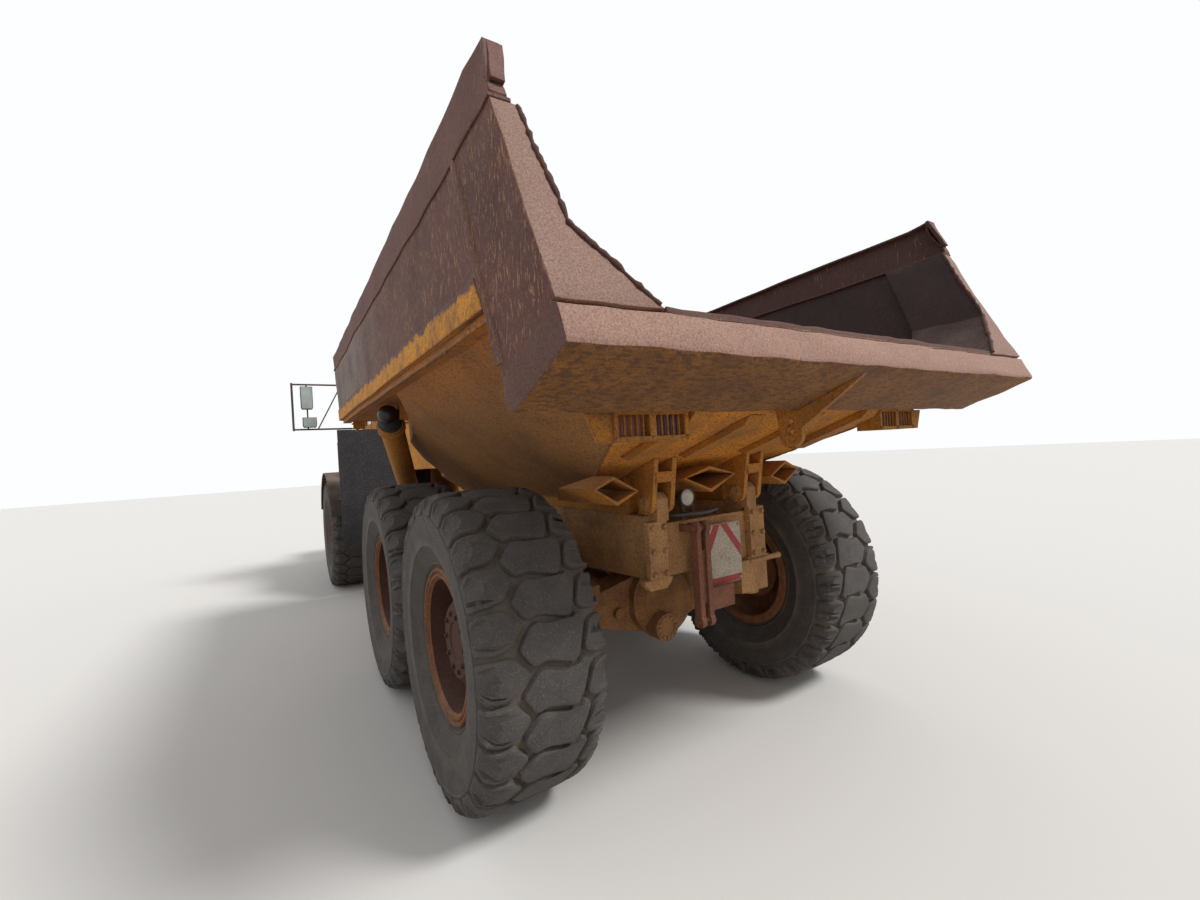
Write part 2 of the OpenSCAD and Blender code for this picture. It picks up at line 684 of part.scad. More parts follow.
shaft_r = 45;
module bogie_axles() {
    color(paint * 0.8) {
        for (d = [0, bogie_gap]) axle(d);
        // shaft between the axles, and the one that comes from the steering pivot
        bar([260, 0, hub_z], [bogie_gap - 190, 0, hub_z], shaft_r);
        bar([bogie_gap + 260, 0, hub_z], [foot[0] - seat, 0, sleeve_z - 190], shaft_r);
    }
}

module bogie_beams() {
    seat_z = hub_z + tube_r + 0.3;
    color(paint * 0.8) both_sides() {
        side_prism([[-130, seat_z], [130, seat_z], [600, 930], [bogie_gap - 600, 930],
            [bogie_gap - 130, seat_z], [bogie_gap + 130, seat_z], [bogie_gap + 130, seat_z + 60],
            [bogie_gap - 500, 1035], [500, 1035], [-130, seat_z + 60]], 460, 560);
        // trunnion against the frame beam
        translate([at(bogie_gap / 2), beam_out + 0.3, 985]) rotate([-90, 0, 0])
            cylinder(r = 45, h = 160);
    }
}

// Steering pivot between the two units
fork_z = [sleeve_z - 200, sleeve_z + 200];
steer_crank = [110, 340];
ear_top = sleeve_z + 12;
module hitch_link() {
    color(dark * 3) difference() {
        union() {
            bar([pivot_d, 0, fork_z[0]], [pivot_d, 0, fork_z[1]], 130);
            bar([pivot_d - sleeve_len[1], 0, sleeve_z], [pivot_d - 60, 0, sleeve_z], sleeve_r);
            // cross bar with the steering ears
            for (s = [-1, 1]) translate([at(pivot_d - steer_crank[0]), s * steer_crank[1], ear_top - 60])
                cylinder(r = 60, h = 60);
            box([pivot_d - steer_crank[0] - 60, -steer_crank[1], ear_top - 60],
                [pivot_d - steer_crank[0] + 60, steer_crank[1], ear_top]);
        }
        bar([pivot_d, 0, fork_z[0] - 1], [pivot_d, 0, fork_z[1] + 1], steer_pin_r + fit);
    }
}

function front_d() = bogie_gap + wheelbase;
fork_x = [pivot_d + 500, pivot_d + 800];
fork_half = 250;
frame_tail = pivot_d + 760;
frame_nose = pivot_d + 3700;
frame_top = 1130;
arch = [front_d() - 250, front_d() + 250];
arch_z = hub_z + 150;
steer_foot = [pivot_d + 760, 590, sleeve_z + 50];
module front_frame() {
    color(paint * 0.9) {
        both_sides() {
            // main beam, arched over the front axle
            side_prism([[frame_tail, 760], [arch[0] - 100, 760], [arch[0], arch_z],
                [arch[1], arch_z], [arch[1] + 100, 760], [frame_nose, 720], [frame_nose, 1000],
                [frame_nose - 900, frame_top], [frame_tail, frame_top]],
                beam_out - beam_w, beam_out);
            // shelf under the foot of the steering cylinder
            box([steer_foot[0] - 1, beam_out - 1, steer_foot[2] - 70],
                [steer_foot[0] + 70, steer_foot[1] + 60, steer_foot[2] - 30]);
            translate([at(steer_foot[0]), steer_foot[1], steer_foot[2] - 70])
                cylinder(r = 60, h = 40);
        }
        for (x = [frame_tail + 280, arch[1] + 360, arch[1] + 1400, frame_nose - 160])
            box([x, -beam_out + beam_w - 1, 770], [x + 100, beam_out - beam_w + 1, 960]);
        // cross plate that joins the fork to the beams
        box([frame_tail, -beam_out, 770], [frame_tail + 60, beam_out, frame_top]);
        // fork: two plates round the steering pin, and the box behind them
        for (z = [fork_z[0] - side_gap - 60, fork_z[1] + side_gap])
            hull() {
                translate([at(pivot_d), 0, z]) cylinder(r = 130, h = 60, $fn = 32);
                box([fork_x[0] - 60, -fork_half, z], [fork_x[0], fork_half, z + 60]);
            }
        box([fork_x[0] - 60, -fork_half, fork_z[0] - 66], [fork_x[1], fork_half, fork_z[1] + 66]);
        bar([pivot_d, 0, fork_z[0] - 80], [pivot_d, 0, fork_z[1] + 80], steer_pin_r);
    }
}

// Cylinders: each runs from its foot to its eye at rest
eye = [eye_x, eye_y, eye_z];
hoist_dead = 150;
// Travel of a steering rod each way, and the room its eye needs past the barrel
steer_travel = 255;
steer_dead = steer_travel + 100;

// Barrel from foot a towards eye b, open at the top for a rod of radius bore
module barrel(a, b, r, bore, dead, neck) {
    d = (b - a) / norm(b - a);
    top = norm(b - a) - dead;
    difference() {
        union() {
            bar(a, a + d * (neck + 1), r * 0.5);
            bar(a + d * neck, a + d * top, r);
            bar(a + d * (top - 70), a + d * (top + 30), r + 6);
            bar(a + d * (top - 30), a + d * (top - 5), r + 16);
        }
        bar(a + d * (neck + 30), b, bore + fit);
    }
}

// Rod that starts the given distance from the barrel's foot
module rod(a, b, r, start) {
    d = (b - a) / norm(b - a);
    bar(a + d * start, b, r);
}

module hoist_barrel() {
    color(paint) {
        barrel(foot, eye, hoist_r, hoist_rod_r, hoist_dead, 130);
        translate([at(foot[0]), foot[1], foot[2]]) sphere(r = ball_r);
    }
}

module hoist_rod() {
    color(steel) {
        rod(foot, eye, hoist_rod_r, 180);
        // ball eye, which meets the lug in the pocket
        translate([at(eye[0]), eye[1], eye[2]]) sphere(r = eye_y - lug_y[1] - seat);
    }
}

steer_eye = [pivot_d - steer_crank[0], steer_crank[1], steer_foot[2]];
module steer_barrel() {
    color(dark * 2) {
        barrel(steer_foot, steer_eye, steer_r, steer_rod_r, steer_dead, 60);
        translate([at(steer_foot[0]), steer_foot[1], steer_foot[2] - 30 + seat])
            cylinder(r = 60, h = 60 - seat);
    }
}

module steer_rod() {
    color(steel) {
        rod(steer_foot, steer_eye, steer_rod_r, 100 + steer_travel);
        translate([at(steer_eye[0]), steer_eye[1], 0]) {
            translate([0, 0, steer_eye[2] - 33]) cylinder(r = 50, h = 66);
            translate([0, 0, ear_top + 0.3]) cylinder(r = 25, h = 80);
        }
    }
}

// Front unit
module engine_block() {
    color(dark * 2) box([cab_x[1] + 30, -295, 960 + seat], [arch[1] + 1560, 295, 1640]);
}

hood_x = [pivot_d + 2050, pivot_d + 4050];
hood_low = 1120;
hood_pin = [hood_x[1] - 45, hood_low - 20];
hood_pin_r = 12;
hood_ear_y = [640, 665];
hood_half = 700;
hood_line = [[hood_x[0], hood_low], [hood_x[1], hood_low], [hood_x[1], 1800],
    [hood_x[1] - 60, 1890], [hood_x[1] - 230, 1960], [hood_x[0], 2250]];
hood_edge = 70;
grille_y = 500;
grille_z = [1250, 1760];
vent_z = 1330;
// Block with its upper edges cut at a slant, drawn in side view
module hood_block(line, half, top) {
    intersection() {
        side_prism(line, -half, half);
        rear_prism([[-half, hood_low - 2], [half, hood_low - 2], [half, top - 420], [half - 60, top - 130],
            [half - 60 - hood_edge, top], [-half + 60 + hood_edge, top], [-half + 60, top - 130],
            [-half, top - 420]], hood_x[0] - 2, hood_x[1] + 1);
    }
}

module hood() {
    color(paint) difference() {
        union() {
            difference() {
                hood_block(hood_line, hood_half, 2251);
                hood_block([[hood_x[0] - 1, hood_low - 1], [hood_x[1] - 25, hood_low - 1],
                    [hood_x[1] - 25, 1788], [hood_x[1] - 75, 1864], [hood_x[1] - 240, 1934],
                    [hood_x[0] - 1, 2226]], hood_half - 25, 2228);
                box([hood_x[1] - 30, -grille_y, grille_z[0]], [hood_x[1] + 10, grille_y, grille_z[1]]);
                // vents in the sides
                both_sides() for (i = [0:6])
                    box([hood_x[0] + 900, hood_half - 8, vent_z + i * 50],
                        [hood_x[0] + 1500, hood_half + 1, vent_z + i * 50 + 22]);
            }
            // ears that turn on the bumper's pins
            both_sides() {
                translate([at(hood_pin[0]), hood_ear_y[0], hood_pin[1]]) rotate([-90, 0, 0])
                    cylinder(r = 24, h = hood_ear_y[1] - hood_ear_y[0]);
                box([hood_pin[0] - 24, hood_ear_y[0], hood_pin[1]],
                    [hood_x[1] - 1, hood_ear_y[1], hood_low + 80]);
            }
            // raised cover on top
            side_prism([[hood_x[0] + 250, 2190], [hood_x[0] + 1100, 2060], [hood_x[0] + 1080, 2115],
                [hood_x[0] + 270, 2250]], -330, 330);
        }
        both_sides() translate([at(hood_pin[0]), hood_ear_y[0] - 1, hood_pin[1]]) rotate([-90, 0, 0])
            cylinder(r = hood_pin_r + fit, h = hood_ear_y[1] - hood_ear_y[0] + 2);
    }
}

module grille() {
    color(dark) {
        for (side = [-1, 1]) box([hood_x[1] - 25, side * (grille_y - 22) - 18, grille_z[0]],
            [hood_x[1], side * (grille_y - 22) + 18, grille_z[1]]);
        for (i = [0:10]) box([hood_x[1] - 22, -grille_y + 30, grille_z[0] + 5 + i * 46],
            [hood_x[1] - 4, grille_y - 30, grille_z[0] + 31 + i * 46]);
        box([hood_x[1] - 25, -25, grille_z[0]], [hood_x[1], 25, grille_z[1]]);
    }
}

jaw_x = nose_d() - 60;
jaw_z = [760, 860];
jaw_bore_r = 22;
bumper_mid = 1040;
function nose_d() = bogie_gap + wheelbase + front_overhang;
module bumper() {
    color(dark * 2) {
        difference() {
            side_prism([[frame_nose + seat, 620], [nose_d(), 620], [nose_d(), 1000],
                [nose_d() - 44, 1100], [frame_nose + seat, 1100]], -1150, 1150);
            // step down under the hood
            box([frame_nose - 1, -hood_half - 10, bumper_mid], [nose_d() + 1, hood_half + 10, 1101]);
            // tow jaw and the bore for its pin
            box([jaw_x - 60, -90, jaw_z[0]], [nose_d() + 1, 90, jaw_z[1]]);
            bar([jaw_x, 0, jaw_z[0] - 60], [jaw_x, 0, bumper_mid + 1], jaw_bore_r);
        }
        both_sides() lamp_housing();
        // foot steps let into the bumper's ends
        both_sides() box([frame_nose + 60, 1149, 640], [nose_d() - 30, 1230, 660]);
        // lugs and pins that the hood turns on
        both_sides() {
            translate([at(hood_pin[0]), hood_ear_y[0] - 36, hood_pin[1]]) rotate([-90, 0, 0])
                cylinder(r = 22, h = 30);
            box([hood_pin[0] - 22, hood_ear_y[0] - 36, bumper_mid - 1],
                [hood_pin[0] + 22, hood_ear_y[0] - 6, hood_pin[1]]);
            translate([at(hood_pin[0]), hood_ear_y[0] - 20, hood_pin[1]]) rotate([-90, 0, 0])
                cylinder(r = hood_pin_r, h = hood_ear_y[1] - hood_ear_y[0] + 20);
        }
    }
}

// Lamp housings are part of the bumper, with two round lenses each
lamp_box_x = [pivot_d + 4000, pivot_d + 4100];
lamp_box_y = [790, 1090];
module lamp_housing() {
    difference() {
        side_prism([[lamp_box_x[0], 1099], [lamp_box_x[1], 1099], [lamp_box_x[1] - 20, 1275],
            [lamp_box_x[0], 1275]], lamp_box_y[0], lamp_box_y[1]);
        for (y = [lamp_box_y[0] + 78, lamp_box_y[1] - 78])
            bar([lamp_box_x[1] - 60, y, 1187], [lamp_box_x[1] + 1, y, 1187], 62);
    }
}

module headlamps() {
    color("white") both_sides() for (y = [lamp_box_y[0] + 78, lamp_box_y[1] - 78])
        bar([lamp_box_x[1] - 60 + seat, y, 1187], [lamp_box_x[1] - 22, y, 1187], 62 - seat);
}

fender_r = tyre_r + 110;
fender_y = [cab_half + seat, track / 2 + tyre_w / 2 + 5];
flap_x = [pivot_d + 395, pivot_d + 411];
module front_fenders() {
    color(paint) both_sides() {
        difference() {
            translate([front_x, fender_y[0], hub_z]) rotate([-90, 0, 0])
                cylinder(r = fender_r, h = fender_y[1] - fender_y[0], $fn = 96);
            translate([front_x, fender_y[0] - 1, hub_z]) rotate([-90, 0, 0])
                cylinder(r = fender_r - 20, h = fender_y[1] - fender_y[0] + 2, $fn = 96);
            translate([front_x - 1200, 700, -200]) cube([2400, 900, hub_z + 500]);
        }
        // arm from the frame, and stay on the cab's side
        box([front_d() + 835, beam_out + seat, hood_low - 60],
            [front_d() + 860, fender_y[0] + 10, hood_low - 10]);
        box([cab_x[0] + 170, fender_y[0], 1240], [cab_x[0] + 230, fender_y[0] + 12, cab_floor + 90]);
        // shelf that carries the mud flap
        box([flap_x[1] + seat, 800, 1300], [front_d() - 695, 1300, 1320]);
    }
}

module mudflaps() {
    color(dark) both_sides() box([flap_x[0], 560, 620], [flap_x[1], 1300, 2230]);
}

cab_x = [pivot_d + 480, pivot_d + 2030];
pane_z = [cab_floor + 720, cab_roof - 200];
module cab_shell() {
    color(paint) {
        difference() {
            side_prism([[cab_x[0], cab_floor], [cab_x[1], cab_floor], [cab_x[1] - 250, cab_roof - 60],
                [cab_x[1] - 350, cab_roof], [cab_x[0] + 40, cab_roof]], -cab_half, cab_half);
            side_prism([[cab_x[0] + 50, cab_floor + 50], [cab_x[1] - 55, cab_floor + 50],
                [cab_x[1] - 300, cab_roof - 100], [cab_x[1] - 370, cab_roof - 50],
                [cab_x[0] + 90, cab_roof - 50]], -cab_half + cab_wall, cab_half - cab_wall);
            // door opening on the left
            box([door_x[0] - 6, cab_half - 100, cab_floor + 50],
                [door_x[1] + 6, cab_half + 10, cab_roof - 200]);
            // windows
            box([cab_x[0] + 150, -cab_half - 10, pane_z[0]], [cab_x[0] + 1150, -cab_half + 100, pane_z[1]]);
            box([cab_x[0] - 10, -560, pane_z[0]], [cab_x[0] + 150, 560, pane_z[1]]);
            box([cab_x[1] - 400, -640, pane_z[0]], [cab_x[1] + 100, 640, pane_z[1] - 20]);
        }
        // roof slab over the walls, and the bars that frame the rear window
        side_prism([[cab_x[0] - 40, cab_roof - 2], [cab_x[1] - 200, cab_roof - 2],
            [cab_x[1] - 215, cab_roof + 30],
            [cab_x[1] - 420, cab_roof + 52], [cab_x[0] + 60, cab_roof + 52], [cab_x[0] - 25, cab_roof + 30]],
            -cab_half - 30, cab_half + 30);
        for (z = [pane_z[0] - 30, pane_z[1]]) box([cab_x[0] - 6, -590, z], [cab_x[0] + 50, 590, z + 30]);
        for (y = [-590, 560]) box([cab_x[0] - 6, y, pane_z[0] - 1], [cab_x[0] + 50, y + 30, pane_z[1] + 1]);
        // hinge lugs and pins of the door
        for (z = door_hinge_z) {
            bar([door_pin[0], door_pin[1], z], [door_pin[0], door_pin[1], z + 40], 13);
            box([door_pin[0], cab_half - 1, z], [door_pin[0] + 40, door_pin[1] + 6, z + 40]);
            bar([door_pin[0], door_pin[1], z], [door_pin[0], door_pin[1], z + 85], door_pin_r);
        }
        // posts on the frame
        both_sides() for (x = [cab_x[0] + 120, cab_x[1] - 260])
            box([x, 330, frame_top + seat], [x + 120, 400, cab_floor + 1]);
    }
}

module cab_glass() {
    color([0.6, 0.75, 0.8, 0.5]) {
        box([cab_x[0] + 150, -cab_half + 15, pane_z[0]], [cab_x[0] + 1150, -cab_half + 25, pane_z[1]]);
        box([cab_x[0] + 52, -560, pane_z[0]], [cab_x[0] + 62, 560, pane_z[1]]);
        intersection() {
            side_prism([[cab_x[1] - 20, cab_floor], [cab_x[1] - 30, cab_floor],
                [cab_x[1] - 280, cab_roof - 60], [cab_x[1] - 270, cab_roof - 60]], -640, 640);
            box([cab_x[1] - 400, -640, pane_z[0]], [cab_x[1] + 100, 640, pane_z[1] - 20]);
        }
    }
}

door_x = [cab_x[0] + 506, cab_x[0] + 1194];
door_z = [cab_floor + 56, cab_roof - 206];
door_pin = [door_x[1] + 3, cab_half + 20];
door_pin_r = 7;
door_hinge_z = [door_z[0] + 150, door_z[1] - 250];
low_pane_z = [door_z[0] + 90, door_z[0] + 560];
module cab_door() {
    color(paint) difference() {
        union() {
            box([door_x[0], cab_half - cab_wall, door_z[0]], [door_x[1], cab_half, door_z[1]]);
            for (z = door_hinge_z) {
                bar([door_pin[0], door_pin[1], z + 40 + seat], [door_pin[0], door_pin[1], z + 80], 13);
                box([door_pin[0] - 50, cab_half - 1, z + 40 + seat],
                    [door_pin[0], door_pin[1] + 6, z + 80]);
            }
        }
        for (z = [[pane_z[0], door_z[1] - 60], low_pane_z])
            box([door_x[0] + 60, cab_half - cab_wall - 1, z[0]], [door_x[1] - 60, cab_half + 1, z[1]]);
        // recess behind the handle
        box([door_x[0] + 14, cab_half - 12, pane_z[0] - 120], [door_x[0] + 54, cab_half + 1, pane_z[0] + 60]);
        for (z = door_hinge_z)
            bar([door_pin[0], door_pin[1], z + 39], [door_pin[0], door_pin[1], z + 81], door_pin_r + fit);
    }
}

module door_glass() {
    color([0.6, 0.75, 0.8, 0.5]) for (z = [[pane_z[0], door_z[1] - 60], low_pane_z])
        box([door_x[0] + 60, cab_half - 30, z[0]], [door_x[1] - 60, cab_half - 20, z[1]]);
}

module seat() {
    color(dark) {
        box([cab_x[0] + 430, -170, cab_floor + 50.3], [cab_x[0] + 770, 170, cab_floor + 300]);
        side_prism([[cab_x[0] + 340, cab_floor + 299], [cab_x[0] + 850, cab_floor + 299],
            [cab_x[0] + 860, cab_floor + 440], [cab_x[0] + 340, cab_floor + 400]], -250, 250);
        side_prism([[cab_x[0] + 340, cab_floor + 330], [cab_x[0] + 440, cab_floor + 380],
            [cab_x[0] + 360, cab_floor + 1000], [cab_x[0] + 260, cab_floor + 980]], -235, 235);
        side_prism([[cab_x[0] + 265, cab_floor + 970], [cab_x[0] + 345, cab_floor + 980],
            [cab_x[0] + 330, cab_floor + 1170], [cab_x[0] + 270, cab_floor + 1160]], -140, 140);
    }
}

wheel_at = [cab_x[1] - 520, 0, cab_floor + 820];
wheel_axis = [0.42, 0, -0.9];
module dashboard() {
    color(dark * 2) {
        side_prism([[cab_x[1] - 420, cab_floor + 50.3], [cab_x[1] - 200, cab_floor + 50.3],
            [cab_x[1] - 240, cab_floor + 660], [cab_x[1] - 400, cab_floor + 700],
            [cab_x[1] - 460, cab_floor + 600]], -600, 600);
        // column and steering wheel
        bar(wheel_at, wheel_at + wheel_axis * 240, 26);
        translate([at(wheel_at[0]), wheel_at[1], wheel_at[2]]) rotate([0, -25, 0]) {
            rotate_extrude() translate([205, 0]) circle(r = 15, $fn = 24);
            for (turn = [90, 210, 330]) rotate([0, 0, turn]) translate([0, -14, -7]) cube([200, 28, 14]);
        }
    }
}

step_x = [pivot_d + 2345, pivot_d + 2785];
rail_out = 1060;
rail_top = 2160;
module steps() {
    color(dark) both_sides() {
        for (x = [step_x[0], step_x[1] - 20]) box([x, 760, 480], [x + 20, 1080, 1420]);
        for (i = [0:3]) box([step_x[0] + 19, 800, 500 + i * 300], [step_x[1] - 19, 1080, 530 + i * 300]);
        // handrail over the deck, on two posts
        for (x = [step_x[0] + 10, step_x[1] - 10]) bar([x, rail_out, 1400], [x, rail_out, rail_top], 16);
        bar([step_x[0] - 6, rail_out, rail_top], [step_x[1] + 6, rail_out, rail_top], 18);
        bar([step_x[0] + 10, rail_out, rail_top - 330], [step_x[1] - 10, rail_out, rail_top - 330], 14);
        // arms from the frame
        for (x = [step_x[0], step_x[1] - 20]) box([x, beam_out + 0.3, 830], [x + 20, 761, 930]);
    }
}

mirror_out = 1760;
mirror_x = cab_x[1] - 330;
mirror_z = [2337, 3014];
wire_r = 13;
// Mirror heads, [y, lower edge, width, height]
mirror_heads = [[1478, 2640, 160, 340], [1440, 2365, 185, 150]];
module mirrors() {
    color(dark) both_sides() {
        for (z = mirror_z) bar([mirror_x, cab_half + seat, z], [mirror_x, mirror_out - 15, z], wire_r);
        bar([mirror_x, mirror_out - 15, mirror_z[0] - 20], [mirror_x, mirror_out - 15, mirror_z[1] + 20], 15);
        // brace, and the upright that carries the heads
        bar([mirror_x, 1085, mirror_z[1] - 2], [mirror_x, 1425, mirror_z[0] + 2], 9);
        bar([mirror_x, 1555, mirror_z[0]], [mirror_x, 1555, mirror_z[1]], 10);
        for (head = mirror_heads) rear_prism([[head[0] + 12, head[1]], [head[0] + head[2] - 12, head[1]],
            [head[0] + head[2], head[1] + 30], [head[0] + head[2], head[1] + head[3]],
            [head[0], head[1] + head[3]], [head[0], head[1] + 30]], mirror_x - 45, mirror_x + 40);
    }
}

exhaust_at = [pivot_d + 2130, -810];
// Place of the cab's slanted front wall at height z
function cab_nose(z) = cab_x[1] - 250 * (z - cab_floor) / (cab_roof - 60 - cab_floor);
module exhaust() {
    pipe = exhaust_at[0];
    y = exhaust_at[1];
    color(rust) {
        bar([pipe, y, 1500], [pipe, y, 3200], 60);
        bar([pipe, y, 1750], [pipe, y, 2700], 80);
        bar([pipe, y, 3180], [pipe - 80, y, 3300], 60);
        for (z = [1660, 1720]) side_prism([[cab_nose(z) + seat, z], [pipe, z], [pipe, z + 30],
            [cab_nose(z + 30) + seat, z + 30]], y, y + 60);
    }
}

module side_tanks() {
    color(paint) both_sides() box([arch[0] - 40, beam_out + 0.3, 905], [arch[1] + 100, 780, 1500]);
}

wheels = [
    ["front_left", front_x, 1], ["front_right", front_x, -1], ["mid_left", mid_x, 1],
    ["mid_right", mid_x, -1], ["rear_left", rear_x, 1], ["rear_right", rear_x, -1]
];
for (w = wheels) {
    tyre(w[1], w[2]);
    rim(w[1], w[2]);
}
front_frame();
engine_block();
front_axle();
hood();
grille();
bumper();
headlamps();
front_fenders();
mudflaps();
cab_shell();
cab_glass();
cab_door();
door_glass();
seat();
dashboard();
steps();
mirrors();
exhaust();
side_tanks();
hitch_link();
steer_barrel();  // steer_barrel_left
mirror([0, 1, 0]) steer_barrel();  // steer_barrel_right
steer_rod();  // steer_rod_left
mirror([0, 1, 0]) steer_rod();  // steer_rod_right
rear_frame();
tail_plate();
work_lamp();
hazard_board();
tow_bar();
bogie_axles();
bogie_beams();
hoist_barrel();  // hoist_barrel_left
mirror([0, 1, 0]) hoist_barrel();  // hoist_barrel_right
hoist_rod();  // hoist_rod_left
mirror([0, 1, 0]) hoist_rod();  // hoist_rod_right
body_floor();
body_sides();
side_bands();
body_front();
side_boards();
tail_lip();
body_ribs();
tail_lamps();
tail_lenses();
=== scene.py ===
# %% [markdown]
# An articulated dump truck, seen from behind, close to the tail. The solids of the
# machine are already at their real size and place. This script loads them once and
# never moves them. It gives each one its finish, and puts in what a solid can't hold:
# tread, bolts, bars, hoses, dents and dirt.

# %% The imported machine
import json
import math
import random

import bpy
import bmesh
from mathutils import Matrix, Vector, noise


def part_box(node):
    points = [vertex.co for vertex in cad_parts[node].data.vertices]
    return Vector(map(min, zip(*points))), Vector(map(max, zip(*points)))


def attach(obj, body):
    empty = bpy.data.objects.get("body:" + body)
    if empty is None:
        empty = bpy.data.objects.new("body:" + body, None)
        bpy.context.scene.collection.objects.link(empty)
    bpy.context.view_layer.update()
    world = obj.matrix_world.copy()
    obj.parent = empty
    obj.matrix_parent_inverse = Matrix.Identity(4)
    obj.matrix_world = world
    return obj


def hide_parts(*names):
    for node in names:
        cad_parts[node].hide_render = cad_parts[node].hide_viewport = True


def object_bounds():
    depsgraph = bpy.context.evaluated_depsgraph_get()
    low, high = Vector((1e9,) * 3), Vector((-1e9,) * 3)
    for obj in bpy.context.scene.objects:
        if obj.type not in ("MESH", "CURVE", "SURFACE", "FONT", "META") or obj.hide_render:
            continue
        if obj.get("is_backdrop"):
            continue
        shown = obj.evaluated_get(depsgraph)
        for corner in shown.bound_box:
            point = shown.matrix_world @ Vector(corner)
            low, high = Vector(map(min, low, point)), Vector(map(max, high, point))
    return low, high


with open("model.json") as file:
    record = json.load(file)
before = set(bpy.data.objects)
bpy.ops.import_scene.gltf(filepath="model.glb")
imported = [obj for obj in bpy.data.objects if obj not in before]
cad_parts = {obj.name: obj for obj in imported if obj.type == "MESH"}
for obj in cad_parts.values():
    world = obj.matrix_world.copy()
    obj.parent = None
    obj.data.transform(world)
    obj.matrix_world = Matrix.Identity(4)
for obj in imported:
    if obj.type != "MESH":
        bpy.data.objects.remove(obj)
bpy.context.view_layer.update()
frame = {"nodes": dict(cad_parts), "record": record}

record = frame["record"]
node_slot = {part["node"]: part["material_slot"] for part in record["subparts"]}
node_body = {node: body for body, group in record["behaviour"]["bodies"].items()
             for node in group}

# %% [markdown]
# The machine's own drawing counts in millimetres from the tail axle. The same count
# is used here for every added piece, so a bolt is placed by the plate's own numbers.

# %% Places on the machine
tail_low, tail_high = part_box("tyre_rear_left")
tail_axle = (tail_low.x + tail_high.x) / 2


def spot(x, y, z):
    """A place in metres: x ahead of the tail axle, y to the left, z above the ground, in mm."""
    return Vector((tail_axle + x / 1000, y / 1000, z / 1000))


print("tail axle at", round(tail_axle, 3))

# %% [markdown]
# The camera stands low behind the left rear wheel. Its place, direction and focal
# length were worked out from the tyres and the body's straight edges in the
# photograph, so a wide lens makes the near tyre large and the cab small.

# %% The camera
eye_point = Vector((-6.144, 2.030, 1.713))
eye_yaw, eye_pitch, eye_roll = (math.radians(a) for a in (-32.8, 0.37, -3.47))
level = math.cos(eye_pitch)
forward = Vector((math.cos(eye_yaw) * level, math.sin(eye_yaw) * level, math.sin(eye_pitch)))
sideways = forward.cross(Vector((0, 0, 1))).normalized()
upright = sideways.cross(forward)
camera = bpy.data.objects.new("camera", bpy.data.cameras.new("camera"))
camera.data.lens = 15.24
camera.data.sensor_width = 36
camera.data.clip_end = 200
aim = Matrix((sideways, upright, -forward)).transposed() @ Matrix.Rotation(eye_roll, 3, "Z")
camera.matrix_world = Matrix.Translation(eye_point) @ aim.to_4x4()
bpy.context.scene.collection.objects.link(camera)
bpy.context.scene.camera = camera
print("camera at", tuple(round(v, 2) for v in eye_point))

# %% [markdown]
# A finish is a tree of nodes, and could be drawn by hand in the shader editor. Here a
# small class adds the nodes: each method makes one kind and returns what it puts out,
# so a finish reads as a list of what feeds what.

# %% A helper for node trees
def spaced(values):
    """Names as the sockets have them, with spaces."""
    return {label.replace("_", " "): value for label, value in values.items()}


def is_socket(value):
    """Whether a value comes from another node, and isn't a plain number or colour."""
    return isinstance(value, bpy.types.NodeSocket)


